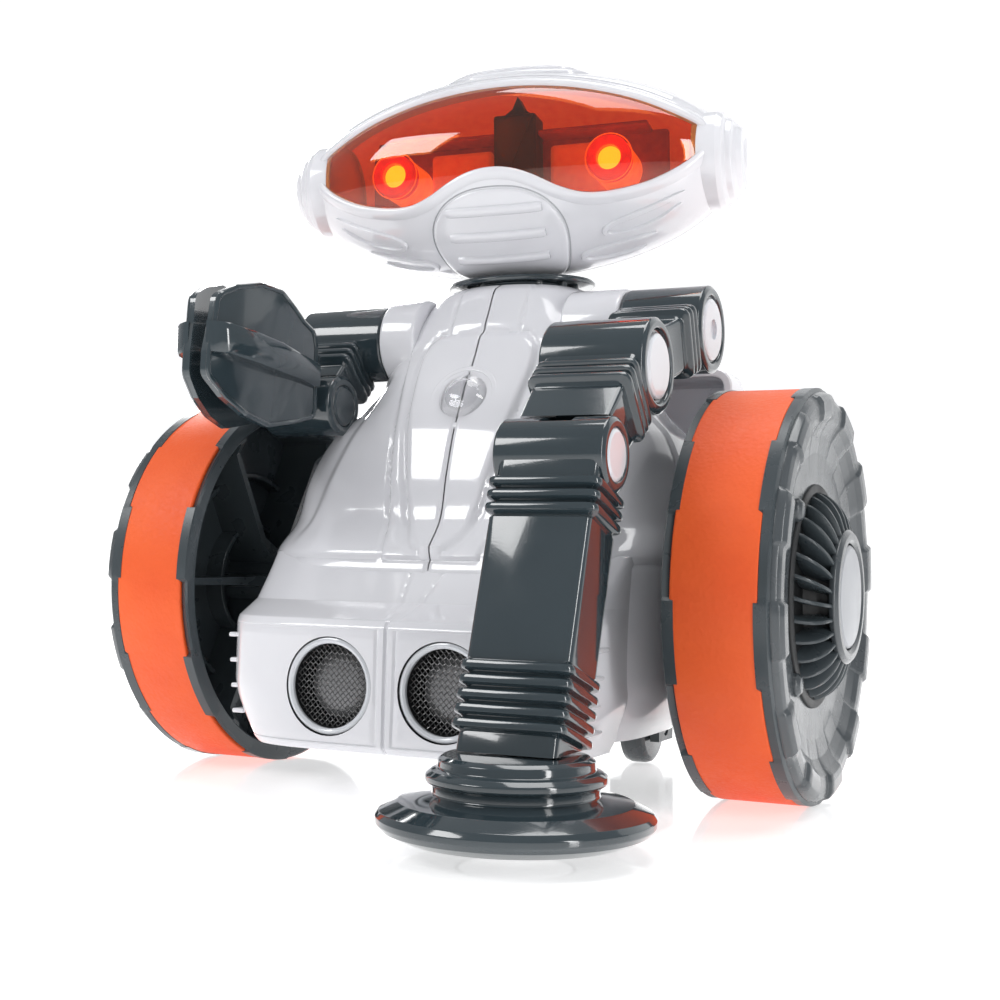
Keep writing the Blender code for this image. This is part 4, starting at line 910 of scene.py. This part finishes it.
def ears_and_eyes():
    for side, word in ((1, "left"), (-1, "right")):
        at = HEAD @ axes((0, 0, 0), (0, side, 0), (0, 0, 1), (side, 0, 0))
        ear = turned("ear_disc_" + word, [(0.0, 57.5), (4.6, 57.2), (5.4, 56.6), (7.4, 56.2), (8.2, 55.0),
                                          (8.8, 54.4),
                                          (9.6, 54.0), (10.0, 52.6), (11.2, 52.0), (11.8, 50.6), (11.9, 45.0),
                                          (0.0, 44.0)], WHITE, "head", at, 0.5)
        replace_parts(ear, "ear_" + word)
        eye = HEAD @ axes((side * 26.5, 0, -1.0), (1, 0, 0), (0, 0, 1), (0, -1, 0))
        barrel = turned("eye_ring_" + word, [(5.2, 15.8), (4.9, 16.3), (3.2, 16.2), (2.9, 15.7),
                                             (2.9, 12.0), (5.2, 12.0)],
                        LAMP_RING, "head", eye, 0.3, 64, True)
        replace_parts(barrel, "eye_barrel_" + word)
        turned("eye_tube_" + word, [(5.4, 12.0), (5.4, 1.9), (3.3, 1.9), (3.3, 12.0)], LAMP_TUBE, "head",
               eye, 0.2, 48,
               True)
        turned("eye_core_" + word, [(0.0, 15.1), (2.0, 14.9), (2.8, 14.3), (2.8, 10.0), (0.0, 10.0)], LAMP,
               "head", eye,
               0.4, 48)
        turned("eye_halo_" + word, [(5.75, 15.2), (5.6, 15.45), (5.45, 15.2), (5.6, 14.95)], LAMP_TUBE,
               "head", eye, 0.1,
               64, True)

def head_inside():
    """What shows through the window: the wall, two boxes, the post and the lining; the wall, boxes and lining
    glow with painted light, as if lit through the window.
    """
    front_view = HEAD @ Matrix.Rotation(math.pi / 2, 4, "X")
    wall = Form()
    soft_box(wall, (-38, -10.4, -1.8), (38, 9.4, -0.3), 1.2, front_view)
    soft_box(wall, (-34, 8.6, -1.5), (34, 9.8, 6.5), 0.5, front_view)
    # Painted light and shade: the wall glows dim red as if faintly lit through the window.
    inside = wall.make("head_bulkhead", PAINTED_DIM_GLOW, "head")
    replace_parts(inside, "eye_bulkhead")
    boxes = Form()
    for x in (-13.5, 17.0):
        soft_box(boxes, (x - 8.0, -6.5, 0.0), (x + 8.0, 7.0, 2.6), 1.4, front_view)
    # Painted light: the boxes glow orange as if lit through the window.
    boxes.make("head_boxes", PAINTED_GLOW, "head")
    post = Form()
    soft_box(post, (-3.4, -9.0, 1.0), (7.2, 13.4, 9.0), 0.8, front_view)
    plate(post, [Vector(p) for p in ((-3.0, 13.0), (6.8, 13.0), (3.6, 15.4), (2.0, 18.6), (0.6, 15.6))],
          1.2, 6.0, 0.3,
          front_view)
    post.make("head_post", BLACK, "head")
    lining = Form()
    rings = []
    for x in (-44 + 88 * k / 44 for k in range(45)):
        r = math.sqrt(1 - (x / 51.0) ** 2)
        rings.append([(x, 20.5 * r * math.cos(math.radians(a)) * (1 if a < 90 else 0.75),
                       21.8 * r * math.sin(math.radians(a))) for a in range(-90, 91, 9)])
    # Painted light: the lining glows orange as if lit through the window.
    lining.grid(rings, False, False, False).make("head_lining", PAINTED_GLOW, "head", HEAD)


def neck_collar():
    collar = Form()
    for radius, low, high, squeeze in ((18.6, -27.3, -26.0, 0.78), (12.5, -28.1, -27.2, 1.0),
                                       (4.0, -31.3, -16.0, 1.0)):
        line = fillet([(0, low), (radius - 0.4, low), (radius, (low + high) / 2), (radius - 0.4, high),
                       (0, high)], 0.3)
        collar.grid([[(p.x * math.cos(2 * math.pi * i / 72), p.x * squeeze * math.sin(2 * math.pi * i / 72),
                       p.y)
                      for i in range(72)] for p in line], True, False, False, NECK)
    for a in range(0, 360, 30):
        c, s = math.cos(math.radians(a)), math.sin(math.radians(a))
        soft_box(collar, (11.0, -0.8, -28.3), (14.5, 0.8, -26.4), 0.3,
                 NECK @ axes((0, 0, 0), (c, s * 0.8, 0), (-s, c, 0),
                                                                                 (0, 0, 1)))
    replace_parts(collar.make("neck_collar", DARK, "head"), "neck_post")


WINDOW = [(p.x, p.y) for p in smooth_line(mirrored(VISOR_HALF), 5, True)]
head_shells(WINDOW)
visor_trim(WINDOW)
chin_piece()
cheek_ridges()
crown_piece()
ears_and_eyes()
head_inside()
neck_collar()


# ---------------------------------------------------------------- arms

def section(hx, hy, corner, z, x=0.0, steps=4):
    line = fillet([(-hx, -hy), (hx, -hy), (hx, hy), (-hx, hy)], corner, True, steps)
    return [(p.x + x, p.y, z) for p in line]


def bellows(hx, hy, top, count, pitch, out, corner=2.2):
    """Rounded folds of a sleeve, from height top downwards."""
    rings = []
    for number in range(count):
        z = top - number * pitch
        for share, swell in ((0.0, 0.0), (0.06, 0.55), (0.16, 0.9), (0.3, 1.0), (0.5, 1.0), (0.64, 0.9),
                             (0.74, 0.55),
                             (0.8, 0.0), (0.9, -0.25)):
            rings.append(section(hx + out * swell, hy + out * swell, corner, z - pitch * share))
    return rings


def link_at(pivot, target, x):
    angle = math.atan2(target[0] - pivot[0], pivot[1] - target[1])
    return axes((x, *pivot), (1, 0, 0), (0, math.cos(angle), math.sin(angle)),
                (0, -math.sin(angle), math.cos(angle))), angle, math.dist(pivot, target)


ALONG_X = Matrix(((0, 0, 1, 0), (0, 1, 0, 0), (-1, 0, 0, 0), (0, 0, 0, 1)))


def drum(name, radius, half, material, body, at, low=None):
    """A joint's barrel along the local X, with softened ends."""
    start = -half if low is None else low
    return turned(name, [(2.3, start), (radius - 0.2, start), (radius, start + 0.5), (radius, half - 0.6),
                         (radius - 0.9, half), (radius - 2.2, half), (radius - 2.5, half - 1.2),
                         (2.3, half - 1.2)],
                  material, body, at @ ALONG_X, 0.6, 80, True)


def pin_cap(name, radius, half, material, body, at, screw=False, node=None):
    cap = turned(name, [(0.0, half + 0.1), (radius - 0.9, half + 0.05), (radius - 0.2, half - 0.3),
                        (radius, half - 1.1),
                        (1.9, half - 1.15), (1.9, -half + 0.8), (0.0, -half + 0.8)], material, body,
                        at @ ALONG_X, 0.5,
                 72)
    if screw:
        carve(cap, rod(half - 0.7, half + 2, 2.3, at @ ALONG_X),
              guide_box((-0.35, -1.9, half - 1.1), (0.35, 1.9, half + 1),
                                                                        at @ ALONG_X))
        finish_piece(cap, material, body)
    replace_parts(cap, node)
    return cap


def open_drum(obj, radius, at, back, reach, width=3.4):
    """Room in a barrel for the link before it."""
    outline = [(0.0, 0.0)] + [(math.cos(back + reach * (i / 4 - 1)) * (radius + 6),
                               math.sin(back + reach * (i / 4 - 1))
                               * (radius + 6)) for i in range(9)]
    rings = [[(x, u, v) for u, v in outline] for x in (-width, width)]
    carve(obj, rod(-width, width, radius - 2.6, at @ ALONG_X),
          Form().grid(rings).make("guide", BLACK, None, at))


def link(name, rings, at, saddle, length, body, node, tongue):
    """A link's body with its saddle for the next barrel, and the tongue that reaches into it."""
    beam = Form().grid(rings).make(name, DARK, None, at)
    carve(beam, rod(-30, 30, saddle + 0.4, at @ Matrix.Translation((0, 0, -length)) @ ALONG_X, 64))
    finish_piece(beam, DARK, body, 30)
    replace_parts(beam, node)
    ear = Form()
    outline = [(math.sin(a) * (saddle - 3.1), -length - math.cos(a) * (saddle - 3.1))
               for a in (math.radians(-80 + 160 * k / 16) for k in range(17))]
    outline += [(2.3, -length + saddle + 3), (-2.3, -length + saddle + 3)]
    rings = [[(tongue + s * 2.9, u, v) for u, v in outline] for s in (-1, 1)]
    ear.grid(rings).make(name + "_tongue", SEMI, body, at)
    return beam


def magnet_arm():
    a, b, c, wrist = SHOULDER, (-35.0, 91.6), (-58.6, 71.8), (-77.5, 12.0)
    at, _, length = link_at(a, b, 42.95)
    body = "magnet_upper"
    upper = ([section(8.6, 7.0, 1.6, -2.0), section(8.6, 7.0, 1.6, -9.2)] + bellows(8.4, 6.8, -9.6, 3, 2.5,
                                                                                    1.0)
             + [section(7.8, 5.9, 1.2, -17.6), section(7.8, 5.9, 1.2, -length + 3.0)])
    link("upper_beam", upper, at, 10.0, length, body, "left_upper_arm", -1.75)
    drum("shoulder_drum_left", 10.0, 9.65, DARK, body, at)
    pin_cap("shoulder_cap_left", 7.2, 9.65, PALE, body, at, True, "left_shoulder_pin")

    at, middle_lean, length = link_at(b, c, 41.2)
    body = "magnet_middle"
    middle = ([section(10.2, 7.4, 1.6, -2.0), section(10.2, 7.4, 1.6, -8.4)] + bellows(10.0, 7.2, -8.8, 3,
                                                                                       2.5, 1.0)
              + [section(9.9, 6.4, 1.2, -16.6), section(9.4, 5.6, 1.2, -length + 2.0)])
    link("middle_beam", middle, at, 7.4, length, body, "left_middle_arm", 0.0)
    barrel = drum("middle_drum", 10.0, 11.4, DARK, body, at)
    open_drum(barrel, 10.0, at, math.atan2(a[1] - b[1], a[0] - b[0]) - middle_lean, math.radians(72))
    finish_piece(barrel, DARK, body)
    pin_cap("middle_cap", 6.9, 11.4, PALE, body, at, False, "left_middle_pin")

    at, elbow_lean, length = link_at(c, wrist, 41.2)
    body = "magnet_forearm"
    forearm = ([section(10.4, 6.6, 1.8, -1.0), section(10.4, 6.6, 1.8, -6.2)] + bellows(10.5, 6.8, -6.6, 3,
                                                                                        2.6, 1.0)
               + [section(10.4, 7.2, 1.8, -14.9), section(10.4, 7.2, 1.8, -41.8)]
               + bellows(10.2, 7.2, -42.2, 5, 2.7, 1.0) + [section(9.8, 7.0, 1.6, -56.0),
                                                           section(9.8, 7.0, 1.6, -length)])
    beam = Form().grid(forearm).make("forearm_beam", DARK, None, at)
    carve(beam, guide_box((10, -120, -5), (80, -40, 17.5)))
    finish_piece(beam, DARK, body, 30)
    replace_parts(beam, "left_forearm")
    barrel = drum("elbow_drum_left", 7.4, 11.4, DARK, body, at)
    open_drum(barrel, 7.4, at, math.atan2(b[1] - c[1], b[0] - c[0]) - elbow_lean, math.radians(80))
    carve(beam, rod(-3.4, 3.4, 4.8, at @ ALONG_X))
    finish_piece(beam, DARK, body, 30)
    finish_piece(barrel, DARK, body)
    pin_cap("elbow_cap_left", 5.3, 11.4, PALE, body, at, False, "left_elbow_pin")

    foot = axes((42.5, -80.0, 0), (1, 0, 0), (0, 1, 0), (0, 0, 1))
    disc = turned("foot_disc", [(0.0, 17.2), (13.0, 17.2), (14.0, 16.5), (14.1, 15.0), (15.2, 14.6),
                                (16.2, 13.8),
                                (16.2, 12.7), (15.0, 12.0), (14.8, 10.4), (17.0, 9.9), (21.0, 9.2),
                                (24.3, 7.6), (24.95, 6.6),
                                (24.95, 5.5), (24.0, 4.4), (20.5, 2.85), (10.7, 2.85), (10.7, 7.0),
                                (0.0, 7.0)], DARK, body,
                  foot, 0.55, 128)
    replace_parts(disc, "magnet_foot")


def claw():
    at, _, length = link_at(SHOULDER, (-15.6, 87.6), -42.95)
    body = "claw_upper"
    upper = ([section(8.2, 6.8, 1.4, -2.0), section(8.2, 6.8, 1.4, -7.6)] + bellows(8.0, 6.6, -8.0, 3, 2.3,
                                                                                    0.9)
             + [section(7.4, 5.4, 1.0, -15.0), section(6.8, 4.8, 1.0, -length + 2.5)])
    link("claw_beam", upper, at, 7.2, length, body, "right_upper_arm", 0.0)
    flip = at @ Matrix.Rotation(math.pi, 4, "Z")
    drum("shoulder_drum_right", 9.6, 9.65, DARK, body, flip, -14.0)
    pin_cap("shoulder_cap_right", 7.2, 9.65, PALE, body, flip, True, "right_shoulder_pin")

    at = axes((-42.95, -15.6, 87.6), (1, 0, 0), (0, 1, 0), (0, 0, 1))
    body = "claw_palm"
    barrel = drum("elbow_drum_right", 7.2, 9.65, DARK, body, at)
    open_drum(barrel, 7.2, at, math.atan2(SHOULDER[1] - 87.6, SHOULDER[0] + 15.6), math.radians(76))
    finish_piece(barrel, DARK, body)
    pin_cap("elbow_cap_right", 5.1, 9.65, DARK, body, at, False, "right_elbow_pin")
    palm = Form()
    outline = fillet([(-2.6, -4.8), (-14.3, -4.8), (-14.3, 4.8), (-2.6, 4.8)], 1.6, True)
    turn = at @ Matrix(((0, 1, 0, 0), (1, 0, 0, 0), (0, 0, 1, 0), (0, 0, 0, 1)))
    for low, high in ((-1.8, 0.9), (9.4, 12.0)):
        plate(palm, outline, low, high, 0.4, turn)
    back = fillet([(-6.3, -4.8), (-7.9, -4.8), (-7.9, 4.8), (-6.3, 4.8)], 0.4, True)
    plate(palm, back, 0.4, 9.9, 0.3, turn)
    block = palm.make("palm_block", DARK, body)
    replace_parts(block, "palm")


def jaw(side, word):
    edge = [(-59.6, 107.6), (-54.0, 110.4), (-46.4, 112.2), (-39.2, 111.7), (-34.0, 108.6), (-30.2, 106.0),
            (-26.0, 104.2), (-24.8, 101.0), (-24.8, 84.0), (-33.0, 81.9), (-42.9, 80.1), (-50.4, 82.0),
            (-57.0, 85.6), (-62.0, 90.0), (-61.8, 95.0), (-60.4, 101.8)]
    line = fillet(edge, 3.0, True, 4)

    def off(y):
        along = min(max((-24.5 - y) / 38.0, 0.0), 1.0)
        return -43.0 + side * (5.75 - 4.5 * along ** 2.2)

    body = "claw_jaw_" + word
    rings = []
    for k in range(34):
        y = -63.0 + k * 39.5 / 33
        near, far = off(y), off(y) + side * 1.6
        rings.append([(near, y, 70.0), (far, y, 70.0), (far, y, 125.0), (near, y, 125.0)])
    blade = Form().grid(rings).make("jaw_blade_" + word, DARK)
    cutter = Form().grid([[(x, p.x, p.y) for p in line] for x in (-60.0, -20.0)]).make("guide", BLACK)
    carve(blade, cutter, operation="INTERSECT")
    finish_piece(blade, DARK, body, 32)
    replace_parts(blade, "jaw_" + word)
    trim = Form()
    count = len(line)
    dense = []
    for i in range(count):
        p, q = line[i], line[(i + 1) % count]
        steps = max(1, int((q - p).length / 1.2))
        dense += [p + (q - p) * k / steps for k in range(steps)]
    middle = Vector((-43.0, 96.0))
    pulled = [p + (middle - p).normalized() * 0.55 for p in dense]
    tube(trim, [(off(p.x) + side * 1.45, p.x, p.y) for p in pulled], 0.62, closed=True, sides=8,
         normals=[(side, 0, 0)] * len(pulled))
    spine = []
    for y, rise in ((-61.4, 0.6), (-60.2, 2.6), (-58.4, 3.6), (-50.0, 3.7), (-42.0, 3.2), (-34.0, 2.4),
                    (-25.2, 1.3)):
        near, far = off(y) + side * 0.8, off(y) + side * (1.6 + rise)
        middle_z, half = 93.4 + (-22.0 - y) * 0.125, 3.3 if y < -40 else 2.9
        spine.append([(near, y, middle_z - half), (far - side * 0.5, y, middle_z - half),
                      (far, y, middle_z - half + 0.6),
                      (far, y, middle_z + half - 0.6), (far - side * 0.5, y, middle_z + half),
                      (near, y, middle_z + half)])
    trim.grid(spine)
    pivot = -43.0 + side * 2.9
    inner = sorted((pivot, -43.0 + side * 6.3))
    soft_box(trim, (inner[0], -29.2, 89.6), (inner[1], -25.8, 96.2), 0.5)
    at = axes((pivot, -27.5, 0), (1, 0, 0), (0, 1, 0), (0, 0, 1))
    profile = fillet([(0, 86.8), (0.85, 86.8), (0.85, 89.6), (2.05, 89.6), (2.05, 96.2), (0.85, 96.2),
                      (0.85, 99.0),
                      (0, 99.0)], 0.2)
    trim.grid([[(p.x * math.cos(2 * math.pi * i / 32), p.x * math.sin(2 * math.pi * i / 32),
                 p.y) for i in range(32)]
               for p in profile], True, False, False, at)
    trim.make("jaw_frame_" + word, DARK, body, sharp=42)


magnet_arm()
claw()
jaw(1, "inner")
jaw(-1, "outer")


# ---------------------------------------------------------------- back

def backpack():
    upright = axes((0, 0, 0), (1, 0, 0), (0, 0, 1), (0, 1, 0))
    outer = fillet([(-46, 24), (46, 24), (46, 101), (-46, 101)], 6.0, True, 6)
    rings = []
    for depth, pull in ((53.8, 3.6), (53.2, 2.9), (51.0, 2.3), (40.2, 2.1), (40.0, 1.8), (40.0, 0.4),
                        (40.4, 0.0),
                        (50.5, 0.0), (52.6, 0.4), (54.4, 1.4), (55.5, 2.5), (55.95, 3.6)):
        rings.append([(p.x, p.y, depth) for p in (inset(outer, pull) if pull else outer)])
    shell = Form().grid(rings, at=upright).make("back_cover", WHITE)
    carve(shell, guide_box((-32.6, 50, 29.4), (32.6, 60, 79.6)),
          guide_box((-18.3, 50, 85.7), (-5.7, 60, 90.3)))
    finish_piece(shell, WHITE, "base", 30)
    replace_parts(shell, "rear_cover")
    door = Form()
    plate(door, fillet([(-32.2, 29.8), (32.2, 29.8), (32.2, 79.2), (-32.2, 79.2)], 1.6, True), 54.1, 55.9,
          0.5, upright)
    for k in range(6):
        x = -7.5 + k * 3.0
        soft_box(door, (x - 0.6, 70.0, 55.4), (x + 0.6, 77.0, 56.15), 0.3, upright)
    piece = door.make("cell_door", WHITE, "base")
    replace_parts(piece, "battery_door")
    vents = Form()
    for k in range(5):
        z = 84.0 + k * 2.6
        soft_box(vents, (10.0, z - 0.5, 55.2), (34.0, z + 0.5, 56.05), 0.35, upright)
    vents.make("back_vents", SEMI, "base")
    knob = Form()
    soft_box(knob, (-16.1, 86.2, 51.0), (-10.3, 89.8, 57.9), 0.5, upright)
    for k in range(3):
        soft_box(knob, (-15.1 + k * 1.7, 86.6, 57.4), (-14.4 + k * 1.7, 89.4, 57.98), 0.2, upright)
    soft_box(knob, (-20.4, 84.8, 50.5), (-6.9, 91.2, 53.5), 0.4, upright)
    slide = knob.make("switch_knob", DARK, "switch")
    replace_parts(slide, "power_switch")
    screws = Form()
    for x, z in ((-38, 30), (38, 30), (-38, 95), (38, 95)):
        line = fillet([(0.0, 55.7), (1.2, 56.0), (2.3, 55.9), (2.6, 55.4), (2.6, 53.5)], 0.3)
        screws.grid([[(x + p.x * math.cos(2 * math.pi * i / 28), z + p.x * math.sin(2 * math.pi * i / 28),
                       p.y)
                      for i in range(28)] for p in line], True, False, False, upright)
    screws.make("cover_screws", STEEL, "base")
    for side, word in ((1, "left"), (-1, "right")):
        at = axes((side * 22.0, 44.0, 9.0), (0, 1, 0), (0, 0, 1), (1, 0, 0))
        roller = turned("roller_" + word, [(0.0, 6.3), (1.5, 6.3), (1.5, 3.8), (3.0, 3.6), (7.6, 3.4),
                                           (8.6, 2.8), (8.98, 1.6),
                                           (8.98, -1.6), (8.6, -2.8), (7.6, -3.4), (3.0, -3.6), (1.5, -3.8),
                                           (1.5, -6.3),
                                           (0.0, -6.3)], GREY, "roller_" + word, at, 0.4, 72)
        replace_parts(roller, "rear_roller_" + word)


backpack()

# ---------------------------------------------------------------- carried-over pieces, stage and camera

def finish_scene():
    looks = {"gearbox": WHITE, "battery_pack": CELL, "control_board": GREEN, "chassis": SEMI,
             "rear_bracket": SEMI,
             "drive_gear": CREAM, "reduction_gear": CREAM, "motor_pinion": STEEL, "magnet": STEEL}
    for name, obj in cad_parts.items():
        if obj.hide_render:
            continue
        stem = name.removesuffix("_left").removesuffix("_right")
        obj.data.materials.clear()
        obj.data.materials.append(looks.get(stem, DARK))


def floor_material():
    made, tree, shader, place, add = nodes_of("studio_floor", Specular_IOR_Level=0.5)
    cloud = add("TexNoise", {"Vector": place, "Scale": 3.0, "Detail": 3.0}).outputs["Fac"]
    mix = add("Mix", {"Factor": spread(add, cloud, 0.0, 1.0), "A": (0.93, 0.925, 0.925, 1.0),
                      "B": (0.9, 0.9, 0.9, 1.0)}, data_type="RGBA")
    tree.links.new(mix.outputs["Result"], shader.inputs["Base Color"])
    tree.links.new(spread(add, cloud, 0.06, 0.09), shader.inputs["Roughness"])
    shader.inputs["Emission Color"].default_value = (1.0, 1.0, 1.0, 1.0)
    shader.inputs["Emission Strength"].default_value = 0.55
    return made


def area_light(name, at, target, size, power, color=(1.0, 1.0, 1.0)):
    data = bpy.data.lights.new(name, "AREA")
    data.shape = "RECTANGLE"
    data.size, data.size_y = size
    data.energy = power
    data.color = color
    obj = bpy.data.objects.new(name, data)
    bpy.context.scene.collection.objects.link(obj)
    obj.location = at
    obj.rotation_euler = (Vector(target) - Vector(at)).to_track_quat("-Z", "Y").to_euler()
    return obj


def studio():
    rings = []
    for y, z in ((-3.0, 0.0), (1.6, 0.0), (2.1, 0.06), (2.5, 0.25), (2.75, 0.6), (2.85, 1.1), (2.85, 3.2)):
        rings.append([(x * 1000.0, y * 1000.0, z * 1000.0) for x in (-4.0, 4.0)])
    form = Form().grid(rings, False, False, False)
    floor = form.make("floor", floor_material(), sharp=180)
    floor.location.z = -0.0002
    world = bpy.data.worlds.new("studio")
    bpy.context.scene.world = world
    world.use_nodes = True
    back = world.node_tree.nodes["Background"]
    back.inputs["Color"].default_value = (0.95, 0.97, 1.0, 1.0)
    back.inputs["Strength"].default_value = 0.42
    bpy.context.scene.view_settings.view_transform = "Standard"
    middle = (0.0, 0.0, 0.09)
    area_light("key", (-0.6, -0.7, 0.75), middle, (0.45, 0.35), 4.2)
    area_light("strip", (0.85, -0.35, 0.3), middle, (0.12, 0.7), 3.0)
    area_light("top", (0.1, 0.1, 0.95), middle, (0.6, 0.5), 4.2)
    area_light("rim", (-0.6, 0.6, 0.4), middle, (0.4, 0.4), 4.0)


def camera():
    azimuth, pitch, roll = math.radians(25.007), math.radians(-2.182), math.radians(1.082)
    back = Vector((math.sin(azimuth) * math.cos(pitch), -math.cos(azimuth) * math.cos(pitch),
                   math.sin(pitch)))
    right = (-back).cross(Vector((0, 0, 1))).normalized()
    up = right.cross(-back)
    data = bpy.data.cameras.new("camera")
    data.lens = 53.353
    data.sensor_width = 36.0
    obj = bpy.data.objects.new("camera", data)
    bpy.context.scene.collection.objects.link(obj)
    turn = axes((0, 0, 0), math.cos(roll) * right + math.sin(roll) * up,
                -math.sin(roll) * right + math.cos(roll) * up, back)
    obj.matrix_world = Matrix.Translation(ROW @ Vector((150.55, -320.81, 52.25))) @ turn
    bpy.context.scene.camera = obj


finish_scene()
studio()
camera()
